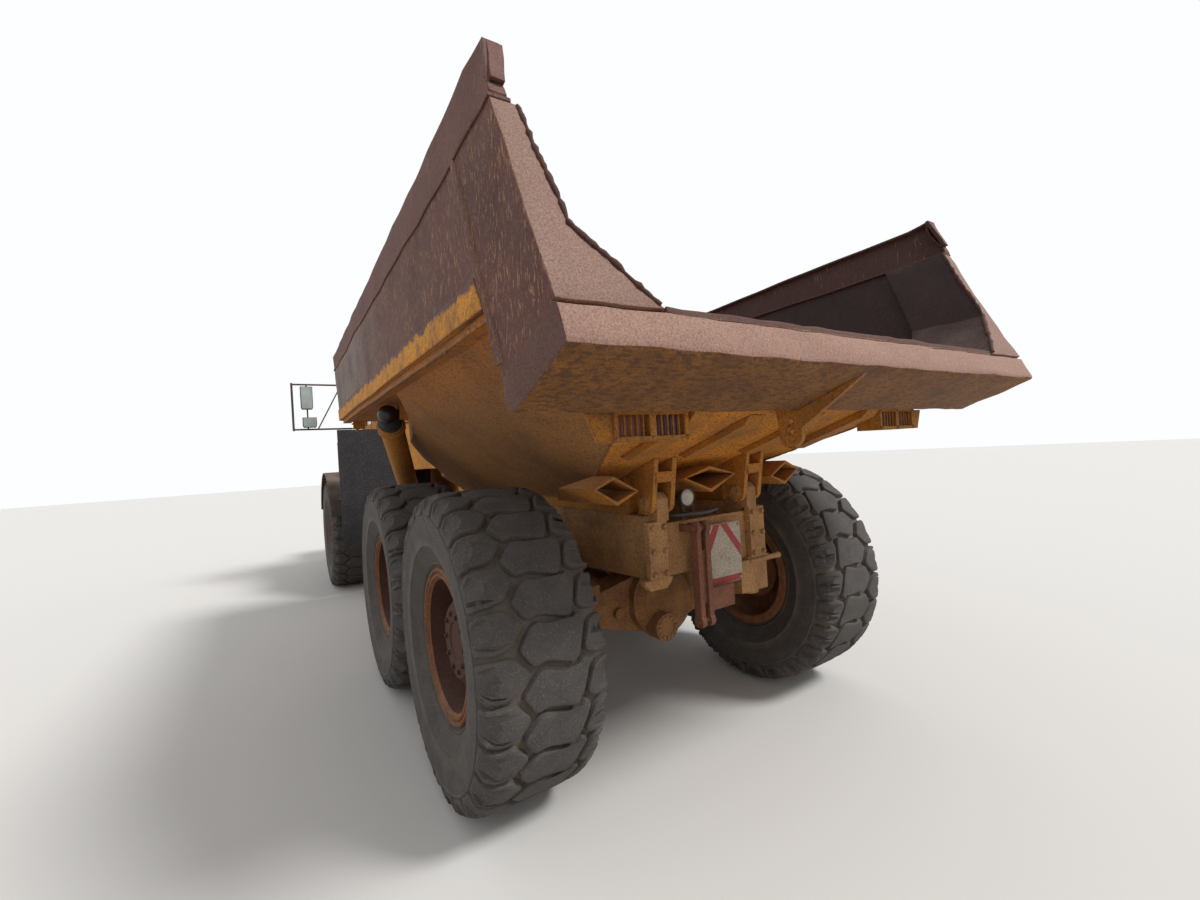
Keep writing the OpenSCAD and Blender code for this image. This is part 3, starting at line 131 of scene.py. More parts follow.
class Nodes:
    """Adds nodes to one tree. Each method but add and surface returns an output socket."""

    def __init__(self, tree):
        self.tree = tree

    def add(self, kind, inputs=None, **options):
        """Adds a node, sets its options, and links or sets its inputs."""
        node = self.tree.nodes.new(kind)
        for name, value in options.items():
            setattr(node, name, value)
        for socket, value in (inputs or {}).items():
            if is_socket(value):
                self.tree.links.new(value, node.inputs[socket])
            else:
                node.inputs[socket].default_value = value
        return node

    def place(self, output="Object"):
        """Where a point lies on the part itself, or its own Normal there."""
        return self.add("ShaderNodeTexCoord").outputs[output]

    def calc(self, operation, *values):
        """One step of arithmetic on sockets or numbers."""
        return self.add("ShaderNodeMath", dict(enumerate(values)), operation=operation).outputs[0]

    def times(self, first, second):
        return self.calc("MULTIPLY", first, second)

    def vector(self, operation, first, second, output="Vector"):
        """One step of arithmetic on two vectors."""
        node = self.add("ShaderNodeVectorMath", {0: first, 1: second}, operation=operation)
        return node.outputs[output]

    def spread(self, value, low, high, to_low=0.0, to_high=1.0):
        """Stretches low to high over to_low to to_high, and goes no further at its ends."""
        limits = {"From Min": low, "From Max": high, "To Min": to_low, "To Max": to_high}
        return self.add("ShaderNodeMapRange", {"Value": value, **limits}).outputs[0]

    def ramp(self, factor, *stops):
        """A ramp in grey between two pairs (place, value)."""
        node = self.add("ShaderNodeValToRGB", {"Fac": factor})
        for element, (place, value) in zip(node.color_ramp.elements, stops):
            element.position = place
            element.color = (value, value, value, 1)
        return node.outputs["Color"]

    def cloud(self, scale, detail, roughness=0.5, place=None):
        """Noise round 0.5 that follows the place on the part."""
        place = self.place() if place is None else place
        return self.add("ShaderNodeTexNoise", {"Vector": place, "Scale": scale, "Detail": detail,
                                               "Roughness": roughness}).outputs["Fac"]

    def mix(self, factor, low, high, kind="MIX"):
        """Mixes two colours, each a socket or an (r, g, b)."""
        low, high = (c if is_socket(c) else (*c, 1) for c in (low, high))
        return self.add("ShaderNodeMix", {0: factor, 6: low, 7: high}, data_type="RGBA",
                        blend_type=kind).outputs[2]

    def rounded(self, radius):
        """The normal of a surface whose edges are rounded by the radius."""
        return self.add("ShaderNodeBevel", {"Radius": radius}, samples=4).outputs["Normal"]

    def relief(self, height, strength, distance, **under):
        """A normal with bumps on it."""
        return self.add("ShaderNodeBump", {"Height": height, "Strength": strength,
                                           "Distance": distance, **under}).outputs["Normal"]

    def mask(self, name, **values):
        """Puts in one of the shared groups with its own values."""
        return self.add("ShaderNodeGroup", spaced(values), node_tree=groups[name]).outputs["Mask"]

    def seen(self):
        """1 for what is seen, also in gloss and through glass, and 0 for bounced light."""
        rays = self.add("ShaderNodeLightPath").outputs
        shiny = self.calc("MAXIMUM", rays["Is Camera Ray"], rays["Is Glossy Ray"])
        return self.calc("MAXIMUM", shiny, rays["Is Transmission Ray"])

    def surface(self, colour, roughness, **fixed):
        """The material's shader, with the output that it feeds."""
        shader = self.add("ShaderNodeBsdfPrincipled",
                          {"Base Color": colour, "Roughness": roughness, **spaced(fixed)})
        self.add("ShaderNodeOutputMaterial", {"Surface": shader.outputs[0]})


def new_finish(name):
    """An empty material, and the helper that adds its nodes."""
    material = bpy.data.materials.new(name)
    material.use_nodes = True
    material.node_tree.nodes.clear()
    return material, Nodes(material.node_tree)


def mask_group(name, draw, **numbers):
    """A shader group with named number inputs and one mask, which draw adds the nodes of."""
    tree = bpy.data.node_groups.new(name, "ShaderNodeTree")
    for label, default in spaced(numbers).items():
        made = tree.interface.new_socket(label, in_out="INPUT", socket_type="NodeSocketFloat")
        made.default_value = default
    tree.interface.new_socket("Mask", in_out="OUTPUT", socket_type="NodeSocketFloat")
    given = tree.nodes.new("NodeGroupInput").outputs
    out = tree.nodes.new("NodeGroupOutput")
    tree.links.new(draw(Nodes(tree), given), out.inputs["Mask"])
    return tree


# %% [markdown]
# Weather leaves the same marks on every painted plate: patches where the colour
# changes, worn edges, long scratches and runs, and dust on what faces up. Each mark is
# one node group that gives a mask from 0 to 1, and each finish uses it with its own
# size and strength. The pattern is worked out from the place on the part itself, so
# neighbouring plates don't repeat and nothing needs unwrapping.

# %% Patches and worn edges
def draw_patches(n, given):
    # the noise lies between about 0.25 and 0.75, which the share picks a level in
    level = n.spread(given["Share"], 0.0, 1.0, 0.74, 0.26)
    cloud = n.cloud(n.calc("DIVIDE", 1.0, given["Size"]), 8.0, 0.62)
    soft = n.times(given["Softness"], 0.5)
    return n.spread(n.calc("SUBTRACT", cloud, level), n.times(soft, -1.0), soft)


def draw_edges(n, given):
    # where the rounded normal turns away from the flat face's own, there is an edge
    flat = n.add("ShaderNodeNewGeometry").outputs["True Normal"]
    turn = n.vector("DOT_PRODUCT", n.rounded(given["Width"]), flat, "Value")
    chips = n.ramp(n.cloud(28.0, 6.0), (0.38, 0.0), (0.55, 1.0))
    return n.times(n.times(n.spread(turn, 0.985, 0.80), chips), given["Amount"])


# %% Dust, scratches and runs
def draw_dust(n, given):
    # dust heaps on what faces up, and a thin film lies everywhere
    upward = n.add("ShaderNodeSeparateXYZ", {0: n.place("Normal")}).outputs["Z"]
    heaped = n.times(n.spread(upward, 0.25, 0.95), given["Amount"])
    uneven = n.ramp(n.cloud(5.0, 9.0, 0.7), (0.30, 0.15), (0.66, 1.0))
    return n.times(n.calc("ADD", heaped, given["Film"]), uneven)


def draw_scratches(n, given):
    # noise that is stretched more along one axis than another draws lines along it
    stretch = n.add("ShaderNodeCombineXYZ", {axis: given[f"Along {axis}"] for axis in "XYZ"})
    drawn = n.vector("MULTIPLY", n.place(), stretch.outputs[0])
    level = n.spread(given["Share"], 0.0, 1.0, 0.72, 0.30)
    lines = n.cloud(given["Scale"], 5.0, 0.6, drawn)
    return n.spread(n.calc("SUBTRACT", lines, level), 0.0, 0.05)


# %% Regions of a surface
def draw_regions(n, given):
    # the mask rises along a place, a facing direction, or both
    place, normal = n.place(), n.place("Normal")
    total = 0.0
    for label, vector in (("Place", place), ("Facing", normal)):
        weights = n.add("ShaderNodeCombineXYZ", {axis: given[f"{label} {axis}"] for axis in "XYZ"})
        share = n.vector("DOT_PRODUCT", vector, weights.outputs[0], "Value")
        total = n.calc("ADD", total, share)
    # a face that looks towards the middle plane has y and its normal's y of opposite signs
    across = n.times(*(n.add("ShaderNodeSeparateXYZ", {0: vector}).outputs["Y"]
                       for vector in (place, normal)))
    total = n.calc("SUBTRACT", total, n.times(across, given["Inward"]))
    torn = n.calc("SUBTRACT", n.cloud(11.0, 7.0, 0.68), 0.5)
    total = n.calc("ADD", total, n.times(torn, given["Ragged"]))
    return n.spread(total, given["From"], given["To"])


groups = {
    "patches": mask_group("patches", draw_patches, Size=0.3, Share=0.5, Softness=0.2),
    "edges": mask_group("edge wear", draw_edges, Width=0.012, Amount=1.0),
    "dust": mask_group("dust", draw_dust, Amount=0.5, Film=0.15),
    "regions": mask_group("regions", draw_regions, Place_X=0.0, Place_Y=0.0, Place_Z=0.0,
                          Facing_X=0.0, Facing_Y=0.0, Facing_Z=0.0, Inward=0.0, From=0.0, To=1.0,
                          Ragged=0.0),
    "scratches": mask_group("scratches", draw_scratches, Along_X=1.0, Along_Y=1.0, Along_Z=1.0,
                            Scale=14.0, Share=0.3),
}
print("groups:", ", ".join(groups))

# %% [markdown]
# One function builds every painted or rusty steel. The real plates started as the
# same ochre paint, and differ in how much of it is left, so a finish is a row of a
# table: the coat, its second tone, the rust under it, and how much of each mark.

# %% How a steel finish is built
sand = (0.50, 0.36, 0.25)
edge_width = 0.012
relief_depth = 0.006


def lighter(colour, by):
    return tuple(min(1.0, c * by) for c in colour)


def steel_finish(name, coat, tone, rust, rust_share=0.3, dust=0.4, film=0.15, roughness=0.75,
                 lines=(1.0, 1.0, 1.0), line_share=0.0, line_scale=14.0,
                 line_colour=(0.35, 0.24, 0.16), bump=0.35, patch=0.35, freckle=0.45,
                 edge_colour=None, regions=(), late=()):
    """Weathered steel in layers: regions lie under the rust, late regions over the scratches."""
    material, n = new_finish(name)
    tones = n.mask("patches", Size=patch * 2, Share=0.5, Softness=0.9)
    colour = n.mix(tones, coat, tone)

    def paint(colour, rows):
        """Lays each region's own colour, in two tones, over what is there."""
        for region_colour, limits in rows:
            varied = n.mix(tones, region_colour, lighter(region_colour, 1.25))
            colour = n.mix(n.mask("regions", **limits), colour, varied)
        return colour

    colour = paint(colour, regions)
    freckles = n.ramp(n.cloud(70.0, 5.0), (0.52, 0.0), (0.62, 1.0))
    colour = n.mix(n.times(freckles, freckle), colour, rust)
    colour = n.mix(n.mask("patches", Size=patch, Share=rust_share, Softness=0.35), colour, rust)
    colour = n.mix(n.mask("edges", Width=edge_width, Amount=0.8), colour, edge_colour or rust)
    if line_share:
        scratched = n.mask("scratches", Along_X=lines[0], Along_Y=lines[1], Along_Z=lines[2],
                           Share=line_share, Scale=line_scale)
        colour = n.mix(n.times(scratched, 0.7), colour, line_colour)
    colour = paint(colour, late)
    colour = n.mix(n.mask("dust", Amount=dust, Film=film), colour, sand)
    # sandpaper rust: every grain is a little lighter or darker than the next
    grain, pits = n.cloud(160.0, 6.0), n.cloud(24.0, 8.0, 0.7)
    shade = n.spread(grain, 0.32, 0.68, 0.68, 1.34)
    grey = n.add("ShaderNodeCombineColor", {"Red": shade, "Green": shade, "Blue": shade})
    colour = n.mix(1.0, colour, grey.outputs[0], "MULTIPLY")
    height = n.calc("ADD", n.times(grain, 0.4), pits)
    normal = n.relief(height, bump, relief_depth, Normal=n.rounded(relief_depth))
    rough = n.spread(pits, 0.0, 1.0, roughness - 0.12, roughness + 0.15)
    n.surface(colour, rough, Normal=normal, Metallic=0.0, Specular_IOR_Level=0.35)
    return material


# %% The painted finishes
finishes = {
    "ochre": steel_finish(
        "ochre paint", (0.48, 0.195, 0.026), (0.56, 0.24, 0.032), (0.15, 0.068, 0.032),
        rust_share=0.22, dust=0.35, film=0.08, line_share=0.22, lines=(2.5, 2.5, 0.4),
        line_colour=(0.20, 0.09, 0.04)),
    "hull": steel_finish(
        "speckled hull", (0.32, 0.155, 0.058), (0.37, 0.170, 0.042), (0.15, 0.078, 0.042),
        rust_share=0.26, dust=0.25, film=0.06, freckle=0.8,
        regions=(((0.42, 0.15, 0.022), dict(Place_Z=1.0, From=1.98, To=2.16, Ragged=0.25)),
                 ((0.66, 0.265, 0.024), dict(Facing_X=-1.0, From=0.16, To=0.24, Ragged=0.05)),
                 ((0.14, 0.085, 0.060), dict(Facing_Z=1.0, From=0.30, To=0.45)),
                 ((0.14, 0.085, 0.060), dict(Inward=1.0, From=0.10, To=0.25)))),
    "band": steel_finish(
        "chipped band", (0.76, 0.350, 0.040), (0.66, 0.280, 0.034), (0.14, 0.066, 0.045),
        rust_share=0.20, dust=0.2, film=0.04, patch=0.10, edge_colour=(0.12, 0.060, 0.048),
        late=(((0.115, 0.060, 0.055), dict(Place_Z=1.0, From=2.283, To=2.300, Ragged=0.16)),)),
    "frame": steel_finish(
        "tan frame", (0.44, 0.225, 0.075), (0.48, 0.275, 0.125), (0.20, 0.090, 0.036),
        rust_share=0.26, dust=0.35, film=0.12, patch=0.15, line_share=0.15, lines=(2.0, 2.0, 0.6)),
    "axle": steel_finish(
        "greasy ochre axle", (0.34, 0.145, 0.032), (0.28, 0.130, 0.048), (0.10, 0.052, 0.030),
        rust_share=0.30, dust=0.3, film=0.10, patch=0.12),
    "sign": steel_finish(
        "pale board", (0.50, 0.46, 0.39), (0.44, 0.41, 0.33), (0.33, 0.22, 0.15),
        rust_share=0.14, dust=0.2, film=0.04, patch=0.08, freckle=0.25),
    "stripe": steel_finish(
        "faded red stripe", (0.42, 0.050, 0.055), (0.36, 0.055, 0.05), (0.30, 0.13, 0.10),
        rust_share=0.14, dust=0.2, film=0.04, patch=0.06),
}
print("painted finishes:", ", ".join(finishes))

# %% The rusty and the dark finishes
finishes |= {
    "side": steel_finish(
        "purple rust side with painted inner shade", (0.118, 0.046, 0.038), (0.165, 0.068, 0.055), (0.066, 0.030, 0.026),
        rust_share=0.35, line_share=0.36, lines=(4.0, 4.0, 0.7), line_scale=36.0,
        line_colour=(0.44, 0.25, 0.13), dust=0.2, film=0.03, freckle=0.35,
        edge_colour=(0.40, 0.19, 0.05),
        regions=(((0.20, 0.165, 0.160), dict(Place_X=1.0, From=-3.1, To=-1.6, Ragged=1.6)),),
        late=(((0.225, 0.133, 0.104), dict(Facing_X=-1.0, From=0.35, To=0.6, Ragged=0.1)),
              ((0.42, 0.19, 0.035),
               dict(Facing_Z=-1.0, Place_X=0.1, From=0.555, To=0.575, Ragged=0.02)),
              # painted shade: the faces turned towards the middle, inside the tub, are made
              # near-black
              ((0.034, 0.019, 0.022), dict(Inward=1.0, From=0.5, To=0.9, Ragged=0.2)))),
    "board": steel_finish(
        "faded board rust with painted inner shade", (0.150, 0.066, 0.056), (0.180, 0.082, 0.068), (0.090, 0.040, 0.034),
        rust_share=0.3, line_share=0.22, lines=(5.0, 4.0, 0.5), line_colour=(0.27, 0.155, 0.125),
        dust=0.25, film=0.03,
        # painted shade: the board's faces turned towards the middle are darkened as if in the
        # tub's shade
        regions=(((0.060, 0.028, 0.027), dict(Inward=1.0, From=0.5, To=0.9, Ragged=0.2)),)),
    "lip": steel_finish(
        "pale rust lip with painted ledge shadow", (0.27, 0.125, 0.040), (0.34, 0.155, 0.038), (0.115, 0.052, 0.028),
        rust_share=0.34, dust=0.2, film=0.02, patch=0.2, line_share=0.50, lines=(3.0, 1.2, 1.6),
        line_scale=22.0, line_colour=(0.095, 0.046, 0.026), edge_colour=(0.32, 0.17, 0.07),
        freckle=0.35,
        late=(((0.275, 0.160, 0.122),
               dict(Facing_X=-0.9, Facing_Z=0.45, From=0.42, To=0.60, Ragged=0.10)),
              ((0.110, 0.052, 0.042), dict(Inward=-1.0, From=0.9, To=1.2, Ragged=0.25)),
              # painted shadow: the lip's top edge, above 2.1 m, is darkened as the shade under the
              # floor plate's overhanging edge
              ((0.095, 0.046, 0.034), dict(Place_Z=1.0, From=2.094, To=2.101, Ragged=0.01)))),
    "dark": steel_finish(
        "dark steel", (0.030, 0.028, 0.030), (0.05, 0.045, 0.042), (0.11, 0.06, 0.04),
        rust_share=0.2, dust=0.3, film=0.06),
    # partly dark rust, partly painted shade: darkened so that a rim's deep dish and hub, and the
    # torn post edges, read as shaded
    "rim": steel_finish(
        "dark rim rust with painted shade", (0.070, 0.026, 0.018), (0.095, 0.036, 0.021), (0.050, 0.020, 0.016),
        rust_share=0.4, dust=0.1, film=0.01, patch=0.12),
    "flange": steel_finish(
        "orange rust flange", (0.30, 0.115, 0.032), (0.24, 0.090, 0.030), (0.12, 0.050, 0.032),
        rust_share=0.42, dust=0.2, film=0.06, patch=0.08),
    "red": steel_finish(
        "red brown bar", (0.20, 0.070, 0.038), (0.26, 0.10, 0.055), (0.11, 0.050, 0.034),
        rust_share=0.3, dust=0.2, film=0.05, patch=0.08),
    "weld": steel_finish(
        "weld bead", (0.22, 0.098, 0.032), (0.28, 0.125, 0.038), (0.11, 0.050, 0.028),
        rust_share=0.4, dust=0.2, patch=0.05, bump=0.6),
}
bright_steel = (0.40, 0.38, 0.35), (0.33, 0.30, 0.27), (0.2, 0.15, 0.11)
finishes["rod"] = steel_finish("oiled rod", *bright_steel, rust_share=0.15, roughness=0.35,
                               bump=0.1)
# the hoist rod's upper end, above 2 m, is black
finishes["ram"] = steel_finish(
    "hoist rod", *bright_steel, rust_share=0.15, roughness=0.35, bump=0.1, dust=0.0, film=0.0,
    late=(((0.020, 0.014, 0.011), dict(Place_Z=1.0, From=1.99, To=2.01)),))
print("steel finishes:", len(finishes))

# %% [markdown]
# Rubber, glass and cloth are finishes of their own. The tread's dust lies where it is
# low, so each point of the tyre's mesh will carry how hollow its place is, and the
# finish reads that number.

# %% Rubber
def rubber_finish(name, colour, dusty, deep, film):
    """Rubber with dust that lies deepest where the mesh says that it is hollow."""
    material, n = new_finish(name)
    hollow = n.add("ShaderNodeAttribute", attribute_name="hollow").outputs["Fac"]
    cloud = n.cloud(9.0, 8.0, 0.65)
    mixed = n.mix(n.ramp(cloud, (0.35, 0.0), (0.65, 1.0)), colour, lighter(colour, 1.4))
    uneven = n.ramp(cloud, (0.3, 0.35), (0.7, 1.0))
    mixed = n.mix(n.times(n.calc("ADD", n.times(hollow, deep), film), uneven), mixed, dusty)
    grain = n.cloud(120.0, 6.0)
    specks = n.ramp(grain, (0.56, 0.0), (0.66, 1.0))
    mixed = n.mix(n.times(specks, 0.35), mixed, dusty)
    height = n.calc("ADD", n.times(n.cloud(30.0, 7.0, 0.7), 1.6), grain)
    n.surface(mixed, 0.85, Normal=n.relief(height, 0.4, 0.005))
    return material


finishes["tyre"] = rubber_finish("dusty tyre", (0.045, 0.045, 0.049), (0.25, 0.20, 0.14),
                                 0.42, 0.13)
finishes["flap"] = rubber_finish("flap rubber", (0.012, 0.012, 0.018), (0.20, 0.16, 0.12),
                                 0.0, 0.08)
print("rubber on", finishes["tyre"].name, "and", finishes["flap"].name)


# %% Glass, cloth and moulded plastic
def plain_finish(name, colour, roughness, grain_scale, bump, transmission=0.0):
    """A glass, cloth or plastic with one fine grain in its colour and its surface."""
    material, n = new_finish(name)
    grain = n.cloud(grain_scale, 6.0)
    mixed = n.mix(n.ramp(grain, (0.35, 0.0), (0.7, 1.0)), colour, lighter(colour, 1.4))
    n.surface(mixed, roughness, Normal=n.relief(grain, bump, 0.002),
              Transmission_Weight=transmission)
    return material


# each row: name, colour, roughness, scale of the grain, bump, share of light let through
for key, row in {"glass": ("cab glass", (0.55, 0.62, 0.62), 0.12, 3.0, 0.02, 0.9),
                 "lamp": ("lamp glass", (0.42, 0.40, 0.35), 0.15, 40.0, 0.2),
                 "cloth": ("seat cloth", (0.03, 0.03, 0.035), 0.9, 300.0, 0.5),
                 "plastic": ("cab plastic", (0.05, 0.05, 0.055), 0.6, 200.0, 0.3),
                 "mirror": ("mirror glass", (0.30, 0.35, 0.33), 0.08, 5.0, 0.01),
                 "amber": ("amber lens", (0.20, 0.050, 0.006), 0.3, 60.0, 0.3),
                 "ruby": ("red lens", (0.085, 0.008, 0.012), 0.3, 60.0, 0.3)}.items():
    finishes[key] = plain_finish(*row)
print("all finishes:", len(finishes))

# %% [markdown]
# Every solid takes its finish from its slot in the record. A few solids of one slot
# look different on the machine, such as the hull, so a short table names those.

# %% Dressing the solids
slot_finish = {"paint": "ochre", "rust": "side", "lip": "lip", "dark": "dark", "steel": "rod",
               "tyre": "tyre", "rim": "rim", "flap": "flap", "glass": "glass", "lamp": "lamp",
               "board": "sign", "seat": "cloth", "cabin": "plastic"}
node_finish = {"body_floor": "hull", "front_fenders": "dark", "hoist_rod_left": "ram",
               "hoist_rod_right": "ram", "tail_plate": "frame", "rear_frame": "frame",
               "exhaust": "red", "bogie_axles": "axle", "bogie_beams": "axle", "tow_bar": "red",
               "side_boards": "board"}
for node, slot in node_slot.items():
    solid = frame["nodes"][node]
    solid.data.materials.clear()
    solid.data.materials.append(finishes[node_finish.get(node, slot_finish[slot])])
print("dressed", len(node_slot), "solids")

# %% [markdown]
# New pieces are drawn as corners and faces. A piece rides on the body that carries it,
# so that it moves with the real joint, and it may stand for the plain solid there.

# %% From a drawing to a piece
def finished(work, name, angle=35):
    """Turns a bmesh into a smooth mesh whose edges past the angle stay sharp."""
    bmesh.ops.recalc_face_normals(work, faces=work.faces)
    mesh = bpy.data.meshes.new(name)
    work.to_mesh(mesh)
    work.free()
    mesh.polygons.foreach_set("use_smooth", [True] * len(mesh.polygons))
    mesh.set_sharp_from_angle(angle=math.radians(angle))
    return mesh


def dress(mesh, *names):
    """Gives a mesh its finishes."""
    mesh.materials.clear()
    for name in names:
        mesh.materials.append(finishes[name])
    return mesh


def add_piece(name, mesh, body, replaced=(), stand=Matrix()):
    """Puts a dressed mesh into the scene, on the body that it rides on."""
    piece = bpy.data.objects.new(name, mesh)
    bpy.context.scene.collection.objects.link(piece)
    piece.matrix_world = stand
    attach(piece, body)
    if replaced:
        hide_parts(*replaced)
    print("added", name, "faces:", len(mesh.polygons))
    return piece


def add_drawn(name, work, finish, body, replaced=(), angle=35):
    """Adds what a bmesh holds as a piece of one finish."""
    return add_piece(name, dress(finished(work, name, angle), finish), body, replaced)


# %% [markdown]
# Most fittings are rows of loops: a nut, a tube and a plate are each a few outlines,
# joined one to the next and closed at the ends. A few helpers make the loops and join
# them, and most shapes below are drawn with these.

# %% Rings and what joins them
def facing(direction):
    """The turn that points Z along a direction."""
    return Vector(direction).to_track_quat("Z", "Y").to_matrix()


def ring(work, centre, turn, radius, rise, sides):
    """A round loop of points, a rise away from its centre along the turned Z."""
    angles = [2 * math.pi * k / sides for k in range(sides)]
    return [work.verts.new(Vector(centre) + turn @ Vector((radius * math.cos(a),
                                                           radius * math.sin(a), rise)))
            for a in angles]


def join(work, loops):
    """Joins each loop to the next. A loop of one point makes a fan of triangles."""
    for lower, upper in zip(loops, loops[1:]):
        for k in range(max(len(lower), len(upper))):
            corners = (lower[k % len(lower)], lower[(k + 1) % len(lower)],
                       upper[(k + 1) % len(upper)], upper[k % len(upper)])
            work.faces.new(list(dict.fromkeys(corners)))


def close(work, loops):
    """Joins the loops and closes both ends."""
    join(work, loops)
    work.faces.new(list(reversed(loops[0])))
    work.faces.new(loops[-1])


# %% [markdown]
# A tyre's tread is what the eye rests on. Each pitch has three blocks: a shoulder block
# on each side and a wide bent block between them. They are drawn flat, as outlines of
# (share of the width, share of the pitch), given worn top edges, and then rolled round
# the carcass. Drawing them flat keeps the pattern readable, and rolling them bends every
# face to the tyre's crown and over its shoulder.

# %% Tyre sizes
def turned_size(node):
    """Radius and half width of a wheel's part, from its solid."""
    low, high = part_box(node)
    return (high.z - low.z) / 2, (high.y - low.y) / 2


tyre_outer, tyre_half = turned_size("tyre_rear_left")
rim_outer, rim_half = turned_size("rim_rear_left")
pitches = 26
pitch = 2 * math.pi * tyre_outer / pitches
groove = 0.033
tread_half = 0.955 * tyre_half
crown_fall, shoulder_fall = 0.010, 0.030
print("tyre radius", round(tyre_outer, 3), "half width", round(tyre_half, 3),
      "pitch", round(pitch, 3))

# outlines in (share of the width from the outer shoulder, share of the pitch)
tread_blocks = [
    [(-0.085, 0.74), (0.10, 0.69), (0.20, 0.71), (0.322, 1.09), (0.215, 1.51), (0.10, 1.58),
     (-0.085, 1.56)],
    [(0.262, 0.60), (0.37, 0.19), (0.42, 0.10), (0.68, 0.33), (0.765, 0.06), (0.815, 0.20),
     (0.75, 0.86), (0.695, 1.16), (0.45, 0.95), (0.365, 1.03), (0.33, 0.93)],
    [(0.775, 0.90), (0.85, 0.32), (0.91, 0.23), (1.085, 0.24), (1.085, 1.03), (0.90, 1.08),
     (0.81, 1.05)],
]
# (how far in, how deep) the side of a block runs, from the groove's floor to its worn top
block_side = [(-0.003, groove), (0.0, 0.009), (0.0025, 0.003), (0.007, 0.0006), (0.016, 0.0)]


# %% The tread's flat outlines
def run(start, end):
    """The way between two places given in shares, in metres."""
    return (end[0] - start[0]) * 2 * tread_half, (end[1] - start[1]) * pitch


def worn_outline(outline, chance, step=0.022):
    """Blunts the corners of an outline and walks along it in short, uneven steps."""
    cut = []
    for index, point in enumerate(outline):
        for other in (outline[index - 1], outline[(index + 1) % len(outline)]):
            share = min(0.3, 0.012 / math.hypot(*run(point, other)))
            cut.append(tuple(p + (o - p) * share for p, o in zip(point, other)))
    walked = []
    for here, after in zip(cut, cut[1:] + cut[:1]):
        count = max(1, round(math.hypot(*run(here, after)) / step))
        for k in (part / count for part in range(count)):
            walked.append((here[0] + (after[0] - here[0]) * k + chance.uniform(-0.0022, 0.0022),
                           here[1] + (after[1] - here[1]) * k + chance.uniform(-0.007, 0.007)))
    return walked


def inset(outline, gap):
    """Moves an outline inwards by the gap, in metres, square to its own run."""
    moved = []
    for index, (share, turn) in enumerate(outline):
        along = Vector(run(outline[index - 1], outline[(index + 1) % len(outline)]))
        inward = Vector((-along.y, along.x)).normalized() * gap
        moved.append((share + inward.x / (2 * tread_half), turn + inward.y / pitch))
    return moved


# %% Rolling the tread round the carcass
def tread_line(off):
    """Radius and distance from the middle of the tread's outer line, 1 at the shoulder."""
    if off <= 1:
        rounding = shoulder_fall * max(0.0, off - 0.75) ** 2 / 0.0625
        return tyre_outer - crown_fall * off ** 2 - rounding, off * tread_half
    return (tyre_outer - (crown_fall + shoulder_fall) - (off - 1) * 0.42,
            tread_half + 0.011 * min(1.0, (off - 1) * 6))


def roll_up(share, turn, drop):
    """Places a point of the flat tread on the tyre, drop below the surface."""
    off, side = abs(1 - 2 * share), math.copysign(1.0, 1 - 2 * share)
    reach, width = tread_line(off)
    ahead, wider = tread_line(off + 0.01)
    normal = Vector((wider - width, reach - ahead)).normalized()
    reach, width = reach - drop * normal.x, (width - drop * normal.y) * side
    angle = -turn * 2 * math.pi / pitches
    return Vector((reach * math.sin(angle), width, reach * math.cos(angle)))


# %% The tread blocks
def tread_mesh():
    work = bmesh.new()
    chance = random.Random(7)
    for number in range(pitches):
        for outline in tread_blocks:
            soft = worn_outline(outline, chance)
            area = sum(a[0] * b[1] - b[0] * a[1] for a, b in zip(soft, soft[1:] + soft[:1]))
            if area < 0:
                soft.reverse()
            worn = 0.0012 * chance.random()
            loops = [[work.verts.new((share, turn + number, drop + worn))
                      for share, turn in inset(soft, gap)] for gap, drop in block_side]
            join(work, loops)
            top = bmesh.ops.triangulate(work, faces=[work.faces.new(loops[-1])])
            long = [e for f in top["faces"] for e in f.edges if e.calc_length() > 0.22]
            bmesh.ops.subdivide_edges(work, edges=list(dict.fromkeys(long)), cuts=1)
    hollow = work.verts.layers.float.new("hollow")
    for vert in work.verts:
        vert[hollow] = min(1.0, vert.co.z / groove)
        vert.co = roll_up(*vert.co)
    return finished(work, "tread")


# %% [markdown]
# The carcass under the blocks is turned, like a pot: one profile of (radius, distance
# from the middle) swept round the axle. Fine rings are part of the profile.

# %% The carcass
# (distance beyond the rim's radius, half width) from the bead to the widest place
bead = [(-0.021, 0.211), (0.012, 0.222), (0.022, 0.238), (0.030, 0.234), (0.075, 0.264),
        (0.118, 0.2815), (0.122, 0.2855), (0.128, 0.2850), (0.132, 0.2838), (0.180, 0.2925),
        (0.235, 0.2965), (0.262, 0.2955), (0.266, 0.2985), (0.272, 0.2975), (0.276, 0.2940)]


def carcass_profile():
    """Half of the carcass, from the bead to the middle of the tread."""
    under = []
    for off in (1.17, 1.12, 1.05, 1.0, 0.92, 0.82, 0.6, 0.3, 0.0):
        reach, width = tread_line(off)
        deep = groove * min(1.0, max(0.12, (1.19 - off) / 0.14))
        sideways = min(1.0, max(0.0, (off - 0.80) / 0.2))
        under.append((reach - deep * (1 - 0.6 * sideways), width - deep * 0.8 * sideways))
    return [(rim_outer + rise, half) for rise, half in bead] + under


def add_swept(work, profile, steps, merge):
    """Sweeps an open profile of (radius, y) round the Y axis and merges equal points."""
    rows = []
    for step in range(steps):
        angle = 2 * math.pi * step / steps
        rows.append([work.verts.new((r * math.sin(angle), y, r * math.cos(angle)))
                     for r, y in profile])
    for row, after in zip(rows, rows[1:] + rows[:1]):
        for i in range(len(profile) - 1):
            work.faces.new((row[i], row[i + 1], after[i + 1], after[i]))
    bmesh.ops.remove_doubles(work, verts=work.verts, dist=merge)


def dust_depth(reach):
    """How dusty a ring of the carcass is: its floor most, the bead less, the side least."""
    beyond = reach - rim_outer
    if reach > tyre_outer - 0.075:
        return 1.0
    if abs(beyond - 0.268) < 0.003 or abs(beyond - 0.127) < 0.006:
        return 0.8  # the two raised rings of the side wall
    return 0.35 if reach < rim_outer + 0.06 else 0.08


